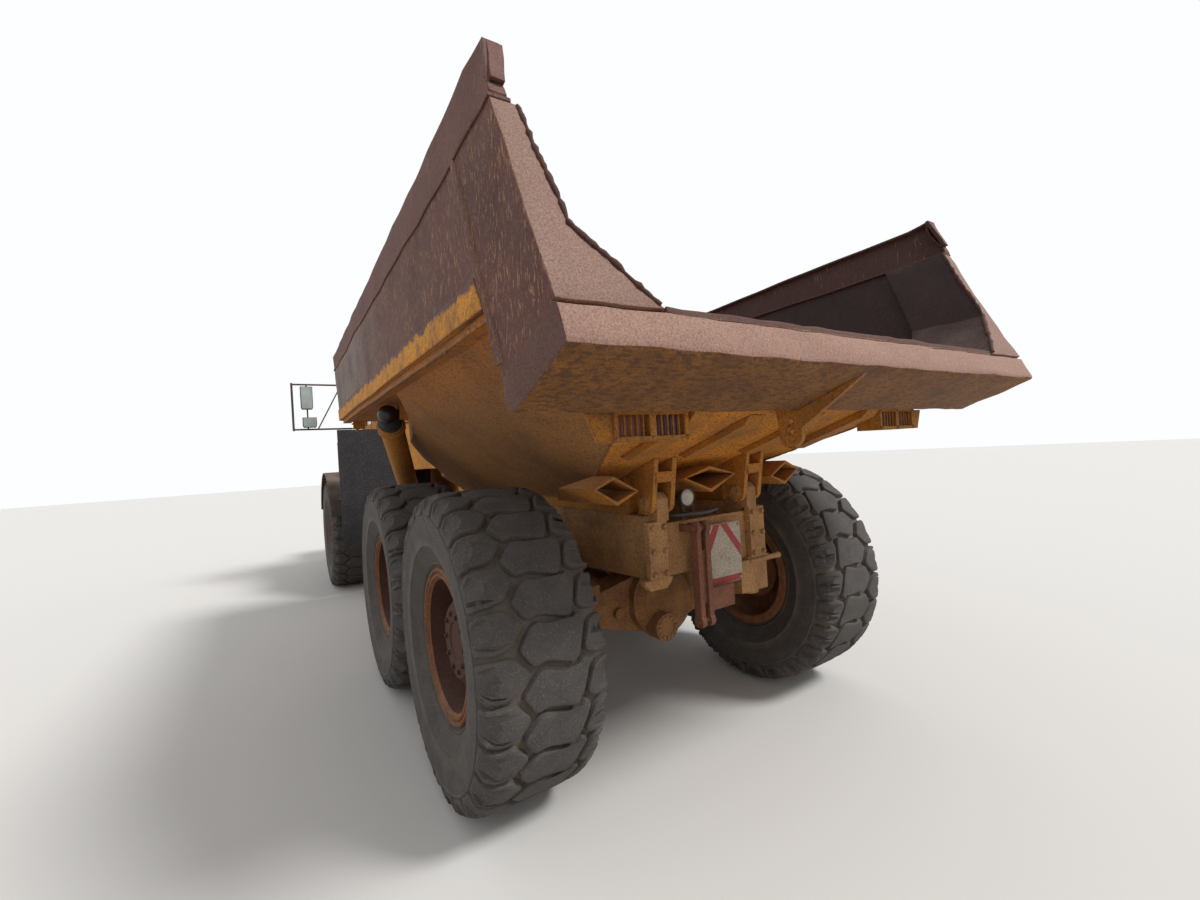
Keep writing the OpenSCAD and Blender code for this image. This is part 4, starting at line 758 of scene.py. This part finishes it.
def tyre_mesh():
    half = carcass_profile()
    closed = [(r, -y) for r, y in half] + list(reversed(half))[1:]
    work = bmesh.new()
    add_swept(work, closed + closed[:1], 120, 0.00001)
    hollow = work.verts.layers.float.new("hollow")
    for vert in work.verts:
        vert[hollow] = dust_depth(math.hypot(vert.co.x, vert.co.z))
    work.from_mesh(tread_mesh())
    return finished(work, "tyre")


# %% [markdown]
# The rims are turned too. The real ones have a rolled flange with a lock ring, a deep
# dish, and a bolted hub, so the profile goes round all of these, and the nuts are small
# six-sided prisms with a chamfer.

# %% Nuts and bolts
def add_nut(work, centre, direction, width=0.03, height=0.018):
    """A chamfered hexagon on a thin washer, standing on centre along direction."""
    turn, washer = facing(direction), 0.003
    for sides, rows in ((16, [(0.66, 0.0), (0.66, washer)]),
                        (6, [(0.5, washer), (0.5, height * 0.82), (0.42, height)])):
        close(work, [ring(work, centre, turn, width * share, rise, sides)
                     for share, rise in rows])


# %% The rims
def rim_mesh():
    r, w, hub = rim_outer, rim_half, 0.215
    profile = [(0.0901, -0.12), (hub - 0.01, -0.12), (hub, -0.11), (hub, -0.032),
               (hub + 0.008, -0.0205), (r - 0.085, -0.0205), (r - 0.066, -0.032),
               (r - 0.0605, -0.05), (r - 0.0605, 0.012 - w), (r - 0.054, 0.001 - w),
               (r - 0.012, 0.001 - w), (r, 0.010 - w), (r, 0.018 - w), (r - 0.0225, 0.027 - w),
               (r - 0.0225, w - 0.027), (r, w - 0.018), (r, w - 0.008), (r - 0.007, w),
               (r - 0.018, w - 0.001), (r - 0.022, w - 0.010), (r - 0.028, w - 0.013),
               (r - 0.033, w - 0.004), (r - 0.046, w - 0.003), (r - 0.050, w - 0.012),
               (r - 0.0605, w - 0.020), (r - 0.064, w - 0.060), (r - 0.078, 0.10),
               (r - 0.084, 0.045), (r - 0.098, 0.016), (hub + 0.075, 0.0105),
               (hub + 0.066, 0.022), (hub + 0.026, 0.024), (hub + 0.014, 0.040), (hub, 0.050),
               (hub - 0.002, 0.146), (hub - 0.010, 0.153), (hub - 0.034, 0.175), (0.105, 0.175),
               (0.095, 0.166), (0.0, 0.166)]
    work = bmesh.new()
    add_swept(work, profile, 96, 0.0001)
    # wheel nuts on the dish, and smaller bolts on the hub's cover, half a step on
    for count, start, radius, y, width, height in ((20, 0.0, hub + 0.046, 0.0232, 0.034, 0.024),
                                                   (10, 0.5, 0.145, 0.1752, 0.024, 0.014)):
        for k in range(count):
            angle = 2 * math.pi * (k + start) / count
            add_nut(work, (radius * math.sin(angle), y, radius * math.cos(angle)), (0, 1, 0),
                    width, height)
    mesh = dress(finished(work, "rim", 30), "rim", "flange")
    # the flange and the inboard side take the orange finish; the dish and the hub take the dark
    # one, which holds painted shade
    for face in mesh.polygons:
        centre = face.center
        outside = math.hypot(centre.x, centre.z) > r - 0.062
        face.material_index = int(outside or centre.y < -0.01)
    return mesh


# %% The six wheels
tyre_shape = dress(tyre_mesh(), "tyre")
rim_shape = rim_mesh()
for place in ("front", "mid", "rear"):
    for side, turned in (("left", 0.0), ("right", math.pi)):
        low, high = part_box(f"tyre_{place}_{side}")
        stand = Matrix.Translation((low + high) / 2) @ Matrix.Rotation(turned, 4, "Z")
        for kind, shape in (("tyre", tyre_shape), ("rim", rim_shape)):
            node = f"{kind}_{place}_{side}"
            add_piece(f"worn_{node}", shape, f"wheel_{place}_{side}", (node,), stand)

# %% [markdown]
# The tipping body has carried rock for years. Its plates are bent a little, their free
# edges are wavy, and every sharp corner is worn round. Each plate is copied from its
# solid, its edges are rounded, and it is cut into a fine grid. Then every point is
# pushed by the same slow noise, so two plates that meet are pushed together.

# %% How far the plates are bent
# without a seed of its own, this noise starts from the clock and differs each run
noise.seed_set(5)
# each dent: its place on the left, which the right repeats, its radius and its depth
dents = [(spot(420, 1130, 1830), 0.30, 0.020), (spot(-250, 1020, 1760), 0.26, 0.016),
         (spot(900, 1300, 2050), 0.25, 0.012), (spot(1700, 1150, 1850), 0.35, 0.014),
         (spot(-600, 1250, 2010), 0.20, 0.010)]
tail_edge = spot(-850, 0, 0).x


def bend(point):
    """The push in metres at a point of the body, from its place alone."""
    free = min(1.0, max(0.12, (point.z - 1.85) / 0.75))
    push = noise.noise_vector(point * 1.1 + Vector((3.1, 7.7, 0.4))) * 0.014 * free
    push += noise.noise_vector(point * 4.2) * 0.0055 * free
    # the tail's free edges are hammered most
    tail = min(1.0, max(0.0, (tail_edge - point.x) / 0.35))
    push += noise.noise_vector(point * 9.0 + Vector((0, 5, 0))) * 0.0065 * tail
    # the upper tail corner of each side is pushed in
    for side in (1, -1):
        corner = spot(-1215, side * 1380, 2990)
        near = max(0.0, 1 - (point - corner).length / 0.17)
        push += Vector((0.012, -0.030 * side, 0.012)) * near ** 1.3
    for centre, reach, deep in dents:
        off = (Vector((point.x, abs(point.y), point.z)) - centre).length / reach
        if off < 1:
            inward = Vector((0, -math.copysign(0.72, point.y), 0.5))
            push += inward * deep * (1 - off * off) ** 2
    return push


def bend_all(work):
    """Pushes every point of a drawing as the body's plates are pushed."""
    for vert in work.verts:
        vert.co += bend(vert.co)


# %% The bent plates
def add_weathered(node, finish, edge=0.006, step=0.07):
    """A copy of a solid with worn edges and bent faces, which stands for that solid."""
    work = bmesh.new()
    work.from_mesh(frame["nodes"][node].data)
    bmesh.ops.remove_doubles(work, verts=work.verts, dist=0.0002)
    bmesh.ops.dissolve_limit(work, angle_limit=math.radians(1), verts=work.verts,
                             edges=work.edges)
    sharp = [e for e in work.edges
             if e.is_manifold and e.calc_face_angle(0) > math.radians(28)]
    bmesh.ops.bevel(work, geom=sharp, offset=edge, segments=2, profile=0.6, affect="EDGES",
                    clamp_overlap=True)
    bmesh.ops.triangulate(work, faces=work.faces)
    for axis in range(3):
        places = [v.co[axis] for v in work.verts]
        low, high = min(places), max(places)
        count = max(1, round((high - low) / step))
        normal = Vector([float(k == axis) for k in range(3)])
        for cut in range(1, count):
            bmesh.ops.bisect_plane(work, geom=work.verts[:] + work.edges[:] + work.faces[:],
                                   plane_co=normal * (low + (high - low) * cut / count),
                                   plane_no=normal, dist=0.0005)
    bend_all(work)
    add_drawn(f"worn_{node}", work, finish, node_body[node], (node,), 32)


for node, finish in (("body_floor", "hull"), ("body_sides", "side"), ("side_boards", "board"),
                     ("side_bands", "band"), ("tail_lip", "lip"), ("body_front", "side")):
    add_weathered(node, finish, edge=0.014 if node == "tail_lip" else 0.006)

# %% [markdown]
# Small fittings are drawn with a few more helpers: a tube that follows points, a plate
# with an outline and a thickness, and a part turned round any axis. Fittings of one
# finish on one body go into one mesh, because they never move against each other.

# %% Tubes, plates and turned parts
def add_tube(work, points, radius, sides=10, wobble=0.0, seed=1):
    """A closed tube along points; wobble makes its radius uneven, as a weld's is."""
    chance = random.Random(seed)
    last = len(points) - 1
    loops = []
    for index, point in enumerate(points):
        ahead = points[min(index + 1, last)] - points[max(index - 1, 0)]
        size = radius * (1 + wobble * chance.uniform(-1, 1))
        loops.append(ring(work, point, facing(ahead), size, 0, sides))
    close(work, loops)


def add_plate(work, outline, push, edge=0.0015):
    """A plate from an outline of points, pushed through by a vector, with blunted edges."""
    push = Vector(push)
    direction = push.normalized()
    middle = sum(outline, Vector()) / len(outline)
    rows = ((0.0, edge), (edge, 0.0), (push.length - edge, 0.0), (push.length, edge))
    close(work, [[work.verts.new(p + direction * rise + (middle - p).normalized() * shrink)
                  for p in outline] for rise, shrink in rows])


def add_block(work, low, high, edge=0.003):
    """A block between two corners, as a plate along X."""
    outline = [Vector((low.x, y, z)) for y, z in
               ((low.y, low.z), (high.y, low.z), (high.y, high.z), (low.y, high.z))]
    add_plate(work, outline, (high.x - low.x, 0, 0), edge)


def add_turned(work, profile, centre, axis, steps=32):
    """Sweeps (radius, rise) round an axis; the profile's ends lie on the axis."""
    join(work, [ring(work, centre, facing(axis), radius, rise, steps if radius else 1)
                for radius, rise in profile])


def line_points(a, b, step):
    """Points on a straight line, about a step apart."""
    count = max(2, round((b - a).length / step))
    return [a.lerp(b, k / count) for k in range(count + 1)]


# %% [markdown]
# The tail lamps are coloured lenses behind bars. A real lens is fluted inside, which
# scatters the bulb's light, so each lens gets upright flutes. The outer ones are amber
# and the inner ones red.

# %% Tail lenses
def add_lens(work, low, high, flutes=9, per_flute=6):
    """A lens whose rear face is a row of shallow upright waves."""
    steps = flutes * per_flute
    rows = []
    for k in range(steps + 1):
        y = low.y + (high.y - low.y) * k / steps
        back = low.x + 0.004 - 0.003 * abs(math.sin(math.pi * k / per_flute))
        rows.append([work.verts.new((x, y, z)) for x, z in
                     ((high.x, low.z), (back, low.z), (back, high.z), (high.x, high.z))])
    close(work, rows)


lens_low, lens_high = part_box("tail_lenses")
lens_width = 140
for name, finish, inner in (("amber_lenses", "amber", 870), ("red_lenses", "ruby", 700)):
    work = bmesh.new()
    for side in (1, -1):
        first, last = sorted((side * inner / 1000, side * (inner + lens_width) / 1000))
        add_lens(work, Vector((lens_low.x, first, lens_low.z)),
                 Vector((lens_high.x, last, lens_high.z)))
    add_drawn(name, work, finish, "dump_body", ("tail_lenses",))

# %% [markdown]
# The round work lamp has a pressed steel bowl, a rolled rim and a domed glass. A bowl is
# a turned shape, so bowl and glass are each one profile swept round the lamp's axis.

# %% The work lamp
lamp = spot(-590, 153, 1446)
work = bmesh.new()
add_turned(work, [(0, 0.066), (0.028, 0.066), (0.031, 0.050), (0.046, 0.030), (0.048, 0.006),
                  (0.052, 0.004), (0.053, -0.002), (0.050, -0.005), (0.045, -0.003),
                  (0.044, 0.006), (0, 0.006)], lamp, (1, 0, 0))
add_tube(work, [spot(-545, 153, 1322), spot(-545, 153, 1380), spot(-548, 153, 1405)], 0.011)
foot = [spot(x, y, 1320) for x, y in ((-556, 130), (-530, 130), (-530, 176), (-556, 176))]
add_plate(work, foot, (0, 0, 0.006))
add_nut(work, lamp + Vector((0.062, 0, -0.028)), (0, 0, -1), 0.018, 0.010)
add_drawn("work_lamp_bowl", work, "dark", "rear_unit", ("work_lamp",))
work = bmesh.new()
add_turned(work, [(0, 0.005), (0.0435, 0.005), (0.0435, -0.001), (0.036, -0.006),
                  (0.022, -0.0095), (0, -0.011)], lamp, (1, 0, 0))
add_drawn("work_lamp_glass", work, "lamp", "rear_unit", ("work_lamp",))

# %% [markdown]
# The board on the tail is a plain pale plate with three red strips that make a
# triangle, a common mark of a slow machine. The strips are thin raised bands, so their
# edges stay sharp in any light.

# %% The board and its strips
board_face = -611.5
work = bmesh.new()
outline = [spot(-600, y, z) for y, z in ((-215, 952), (-203, 940), (60, 940), (72, 952),
                                         (72, 1268), (60, 1280), (-203, 1280), (-215, 1268))]
add_plate(work, outline, (-0.0115, 0, 0))
for y in (-185, 22):
    add_block(work, spot(-601, y, 1060), spot(-560.4, y + 20, 1260))
for y, z in ((-200, 1262), (57, 1262), (-200, 958), (57, 958)):
    add_nut(work, spot(board_face, y, z), (-1, 0, 0), 0.014, 0.006)
add_drawn("sign_plate", work, "sign", "rear_unit", ("hazard_board",))
work = bmesh.new()
for strip in ([(-56, 1276), (-6, 1276), (68, 1150), (68, 1064)],
              [(-57.5, 1276), (-108, 1276), (-211, 1142), (-211, 1076)],
              [(68, 944), (-211, 944), (-211, 978), (68, 982)]):
    # each strip starts 0.1 mm inside the plate's face
    add_plate(work, [spot(board_face + 0.1, y, z) for y, z in strip], (-0.0014, 0, 0), 0.0004)
add_drawn("sign_strips", work, "stripe", "rear_unit", ("hazard_board",))

# %% [markdown]
# The plates of the body are welded. A weld is a bead of small ripples along the seam,
# so it is drawn as a thin tube whose radius changes from step to step.

# %% Weld beads
work = bmesh.new()
seams = []
for side in (1, -1):
    seams += [(spot(-4, side * 451, 1449), spot(-1180, side * 958.6, 1851.6)),
              (spot(0, side * 450, 1449), spot(2390, side * 450, 1449)),
              (spot(-600, side * 1417, 2168), spot(2830, side * 1417, 2168))]
for number, seam in enumerate(seams):
    add_tube(work, [p + bend(p) for p in line_points(*seam, 0.02)], 0.0065, 6, 0.35, number)
add_drawn("body_welds", work, "weld", "dump_body", angle=60)

# %% [markdown]
# The inner edge of each tail post is a torn plate. Rock has rolled it into a rough rim,
# so the rim is a thicker bead than a weld, and follows the corners of the post. Its dark
# finish is painted shade along the plate's edge.

# %% Torn rims of the tail posts
work = bmesh.new()
rim_corners = [(-1268, 1355, 2768), (-1466, 1320, 2345), (-1564, 1125, 2134), (-1579, 1096, 2103)]
for side in (1, -1):
    corners = [spot(x, side * y, z) for x, y, z in rim_corners]
    points = [p for a, b in zip(corners, corners[1:]) for p in line_points(a, b, 0.018)[:-1]]
    add_tube(work, [p + bend(p) for p in points], 0.009, 7, 0.45, 3)
# the dark rim finish paints the shade along each post's torn edge
add_drawn("torn_rims", work, "rim", "dump_body", angle=60)

# %% [markdown]
# The tail end of each top board has been bent into a hook, from its top return down to
# the flange at its foot. It is a thin band that follows a few points in side view.

# %% Bent ends of the top boards
work = bmesh.new()
hook = [(-1206, 2984), (-1196, 2950), (-1200, 2915), (-1216, 2880), (-1238, 2845),
        (-1262, 2812), (-1270, 2788), (-1262, 2776)]
for left_edge in (1442, -1386):
    for (x, z), (next_x, next_z) in zip(hook, hook[1:]):
        corners = [(x, z), (next_x, next_z), (next_x + 11, next_z + 2), (x + 11, z + 2)]
        add_plate(work, [spot(x, left_edge, z) for x, z in corners], (0, -0.056, 0), 0.0005)
bend_all(work)
add_drawn("board_ends", work, "board", "dump_body", angle=50)

# %% [markdown]
# Bolts hold the parts that come off for service: the tail's end plates, the covers of
# the axles, the lamp guards and the hinge pins' keepers.

# %% Bolts of the rear unit
backwards = (-1, 0, 0)
cover_radius, cover_bolts = 0.062, 12
work = bmesh.new()
for side in (1, -1):
    for y in (338, 417):
        for z in (1072, 1188, 1312):
            add_nut(work, spot(-600, side * y, z), backwards, 0.026, 0.016)
    # a round keeper on either face of each hinge post
    for y, outward in ((268, -1), (412, 1)):
        add_turned(work, [(0, 0.0), (0.040, 0.0), (0.042, 0.004), (0.040, 0.010), (0, 0.012)],
                   spot(-550, side * y, 1440), (0, outward * side, 0), 24)
for place in ("mid", "rear"):
    low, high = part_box(f"tyre_{place}_left")
    cover_x = (low.x + high.x) / 2 - 0.2615
    for k in range(cover_bolts):
        angle = 2 * math.pi * k / cover_bolts
        add_nut(work, (cover_x, 0.080 + cover_radius * math.cos(angle),
                       0.640 + cover_radius * math.sin(angle)), backwards, 0.018, 0.010)
add_drawn("tail_bolts", work, "frame", "rear_unit", angle=30)

# %% Screws of the lamp guards
work = bmesh.new()
for side in (1, -1):
    for y in (690, 855, 1020):
        for z in (1757, 1853):
            add_nut(work, spot(-1205, side * y, z), backwards, 0.013, 0.007)
add_drawn("guard_screws", work, "frame", "dump_body", angle=30)

# %% [markdown]
# Two hoses run over the top of the tail plate to the lamp and the tail's fittings. Each
# comes out of the frame, sags over the plate's edge and goes back into the machine, so
# both of its ends are in the object.

# %% Hoses at the tail
def hose_route(points, count=26):
    """A smooth curve through a few points, as many short steps."""
    route = []
    spans = len(points) - 1
    for k in range(count + 1):
        t = k / count * spans
        i = min(int(t), spans - 1)
        u = t - i
        a, b, c, d = (points[max(0, min(spans, i + o))] for o in (-1, 0, 1, 2))
        route.append(0.5 * ((2 * b) + (c - a) * u + (2 * a - 5 * b + 4 * c - d) * u * u
                            + (3 * b - a - 3 * c + d) * u ** 3))
    return route


hoses = {
    "hose_long": [(-470, 235, 1330), (-500, 225, 1352), (-545, 190, 1350), (-575, 110, 1352),
                  (-578, 10, 1350), (-560, -80, 1354), (-520, -130, 1350), (-480, -150, 1325)],
    "hose_short": [(-480, 40, 1325), (-510, 50, 1365), (-545, 85, 1405), (-545, 120, 1425),
                   (-533, 148, 1440)],
}
for name, places in hoses.items():
    route = hose_route([spot(*place) for place in places])
    work = bmesh.new()
    add_tube(work, route, 0.010, 12)
    piece = add_drawn(name, work, "plastic", "rear_unit", angle=60)

# %% [markdown]
# A rubber boot keeps dirt off each hoist rod's upper end, and is drawn up round the
# ball of its eye. The real one is torn and has slipped, so it is drawn as a crumpled
# bellows with an uneven lower edge.

# %% Boots on the hoist rods
# (radius, distance down the rod from the eye), round the outside and back up inside
boot_profile = [(0.0745, 0.004), (0.0775, 0.006), (0.0785, 0.040), (0.074, 0.066),
                (0.080, 0.080), (0.074, 0.096), (0.088, 0.108), (0.072, 0.124), (0.084, 0.138),
                (0.068, 0.152), (0.078, 0.166), (0.0575, 0.182), (0.0555, 0.182),
                (0.0555, 0.060), (0.068, 0.034)]
boot_sides = 30


def boot_mesh(side):
    eye, foot = spot(1330, side * 1300, 2090), spot(3500, side * 600, 900)
    turn = facing(foot - eye)
    chance = random.Random(5 + side)
    work = bmesh.new()
    loops = []
    for radius, rise in boot_profile:
        loop = []
        for k in range(boot_sides):
            angle = 2 * math.pi * k / boot_sides
            slack = 0.008 * math.sin(3 * angle + side) * max(0.0, rise - 0.07) / 0.12
            slack += chance.uniform(-0.0018, 0.0018)
            # the folds stand out, and the sleeve inside them stays round
            outward = radius + (slack if radius > 0.06 else 0.0)
            loop.append(work.verts.new(eye + turn @ Vector((
                outward * math.cos(angle), outward * math.sin(angle), rise + abs(slack)))))
        loops.append(loop)
    join(work, loops + loops[:1])
    return dress(finished(work, "boot", 60), "flap")


for name, side in (("left", 1), ("right", -1)):
    add_piece(f"hoist_boot_{name}", boot_mesh(side), f"hoist_rod_{name}")

# %% [markdown]
# The seat is the one soft thing in the cab. A cushion is a crowned closed form whose
# sides pull in between its corners, with a sewn seam round each. Each cushion starts
# as a rounded block, and its points are moved in code: out where the filling is thick,
# and in along the seams. The pedestal under it is rigid and is a piece of its own.

# %% How a cushion is drawn
def add_cushion(work, centre, sizes, tilt, channels=0):
    """A filled cushion of the given sizes (x, y, z), tilted about Y, with sewn channels."""
    box = bmesh.new()
    bmesh.ops.create_cube(box, size=2.0)
    bmesh.ops.subdivide_edges(box, edges=box.edges, cuts=15, use_grid_fill=True)
    turn = Matrix.Rotation(tilt, 3, "Y")
    copies = {}
    for vert in box.verts:
        p = vert.co
        q = p / (abs(p.x) ** 5 + abs(p.y) ** 5 + abs(p.z) ** 5) ** 0.2
        # the filling stands highest in the middle, and the sides pull in between corners
        crown = 1 + 0.16 * (1 - q.x * q.x) * (1 - q.y * q.y)
        waist = 1 - 0.035 * (1 - q.z * q.z)
        seam = 1 - 0.030 * math.exp(-((abs(q.z) - 0.55) / 0.07) ** 2)
        ditch = 1.0
        if channels:
            wave = math.sin(q.y * math.pi * channels / 2)
            ditch = 1 - 0.14 * math.exp(-(wave / 0.22) ** 2) * (q.z > 0.3)
        place = Vector((q.x * sizes[0] / 2 * waist * seam, q.y * sizes[1] / 2 * waist * seam,
                        q.z * sizes[2] / 2.32 * crown * ditch))
        copies[vert] = work.verts.new(Vector(centre) + turn @ place)
    for face in box.faces:
        work.faces.new([copies[v] for v in face.verts])
    box.free()


# %% The seat
cab_back, cab_floor = 4925, 1640
work = bmesh.new()
# each cushion: its place ahead of the cab's back and above its floor, sizes, tilt, channels
for ahead, above, sizes, tilt, channels in ((598, 366, (0.50, 0.485, 0.135), -2.5, 4),
                                            (348, 672, (0.60, 0.455, 0.115), -83, 4),
                                            (303, 1072, (0.19, 0.27, 0.085), -84, 0)):
    add_cushion(work, spot(cab_back + ahead, 0, cab_floor + above), sizes, math.radians(tilt),
                channels)
cushions = add_drawn("seat_cushions", work, "cloth", "tractor", ("seat",), 70)
work = bmesh.new()
add_block(work, spot(cab_back + 430, -170, 1690.3), spot(cab_back + 770, 170, 1715))
for k in range(5):
    # the folds of the suspension's cover stand in and out by turns
    add_block(work, spot(cab_back + 452 + 4 * (k % 2), -148, 1716 + 36 * k),
              spot(cab_back + 748, 148, 1747 + 36 * k), 0.006)
add_block(work, spot(cab_back + 400, -200, 1897), spot(cab_back + 800, 200, 1938))
add_drawn("seat_pedestal", work, "plastic", "tractor", ("seat",))

# %% [markdown]
# The cab and the hood carry the small things that a driver touches: a door handle,
# wipers, latches, and the mirrors' glass. They are thin, so they are plates and tubes.

# %% Door handle
work = bmesh.new()
for x in (5446, 5480):
    add_block(work, spot(x - 5, 772, 2250), spot(x + 5, 796, 2262), 0.002)
add_tube(work, [spot(5440, 797, 2256), spot(5455, 800, 2256), spot(5490, 800, 2256)], 0.007)
add_drawn("door_handle", work, "dark", "door")

# %% Mirror glass
mirror_face = 6100
work = bmesh.new()
for side in (1, -1):
    for y, z, wide, tall in ((1478, 2640, 160, 340), (1440, 2365, 185, 150)):
        outline = [(y + 16, z + 8), (y + wide - 16, z + 8), (y + wide - 8, z + 34),
                   (y + wide - 8, z + tall - 8), (y + 8, z + tall - 8), (y + 8, z + 34)]
        add_plate(work, [spot(mirror_face, side * a, b) for a, b in outline], (-0.004, 0, 0),
                  0.001)
add_drawn("mirror_glass", work, "mirror", "tractor")

# %% Wipers
windscreen_foot, windscreen_top = (6475, 2330), (6345, 3010)
lean = (windscreen_top[0] - windscreen_foot[0]) / (windscreen_top[1] - windscreen_foot[1])


def on_windscreen(proud, y, z):
    """A place just proud of the leaning windscreen."""
    return spot(windscreen_foot[0] + lean * (z - windscreen_foot[1]) + proud, y, z)


work = bmesh.new()
for y in (-230, 260):
    add_tube(work, [on_windscreen(12, y + (z - windscreen_foot[1]) * 0.28, z)
                    for z in (2330, 2500, 2700, 2800)], 0.007, 8)
    add_tube(work, [on_windscreen(8, y + 200, z) for z in range(2440, 2980, 60)], 0.008, 6)
add_drawn("wipers", work, "dark", "tractor")

# %% Hood latches
hood_side = 700.84
work = bmesh.new()
for x in (8400, 6700):
    for y in (hood_side, -hood_side):
        add_block(work, spot(x - 22, y - 3, 1190), spot(x + 22, y + 3, 1262), 0.002)
add_drawn("hood_latches", work, "dark", "hood")

# %% [markdown]
# The stage is a pale floor under a white sky. To the light that bounces off it the
# floor is a sandy ground, as it is in the yard. The sky lights all sides softly, and a
# wide sun from behind on the right gives the lip and the treads the bright side that
# the photograph shows.

# %% Floor
floor_mesh = bpy.data.meshes.new("floor")
reach = 60.0
floor_mesh.from_pydata([(-reach, -reach, 0), (reach, -reach, 0), (reach, reach, 0),
                        (-reach, reach, 0)], [], [(0, 1, 2, 3)])
floor = bpy.data.objects.new("floor", floor_mesh)
bpy.context.scene.collection.objects.link(floor)
floor_finish, n = new_finish("floor")
n.surface(n.mix(n.seen(), (0.40, 0.34, 0.28), (0.72, 0.70, 0.67)), 0.9)
floor_mesh.materials.append(floor_finish)
floor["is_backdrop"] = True
print("floor", 2 * reach, "m wide")

# %% Sky and sun
world = bpy.data.worlds.new("sky")
bpy.context.scene.world = world
world.use_nodes = True
world.node_tree.nodes.clear()
n = Nodes(world.node_tree)
sky_level = n.spread(n.seen(), 0.0, 1.0, 0.62, 1.0)
sky = n.add("ShaderNodeBackground", {"Color": (0.98, 0.99, 1.0, 1), "Strength": sky_level})
n.add("ShaderNodeOutputWorld", {"Surface": sky.outputs[0]})

sun = bpy.data.objects.new("sun", bpy.data.lights.new("sun", "SUN"))
sun.data.energy = 2.3
sun.data.angle = math.radians(14)
sun.rotation_euler = Vector((-0.75, -0.55, 1.0)).to_track_quat("Z", "Y").to_euler()
bpy.context.scene.collection.objects.link(sun)
bpy.context.scene.view_settings.view_transform = "Standard"
print("sun strength", sun.data.energy)

# %% Sizes, for comparing with the solids
low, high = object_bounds()
print("visual box", [round(v, 3) for v in low], [round(v, 3) for v in high])
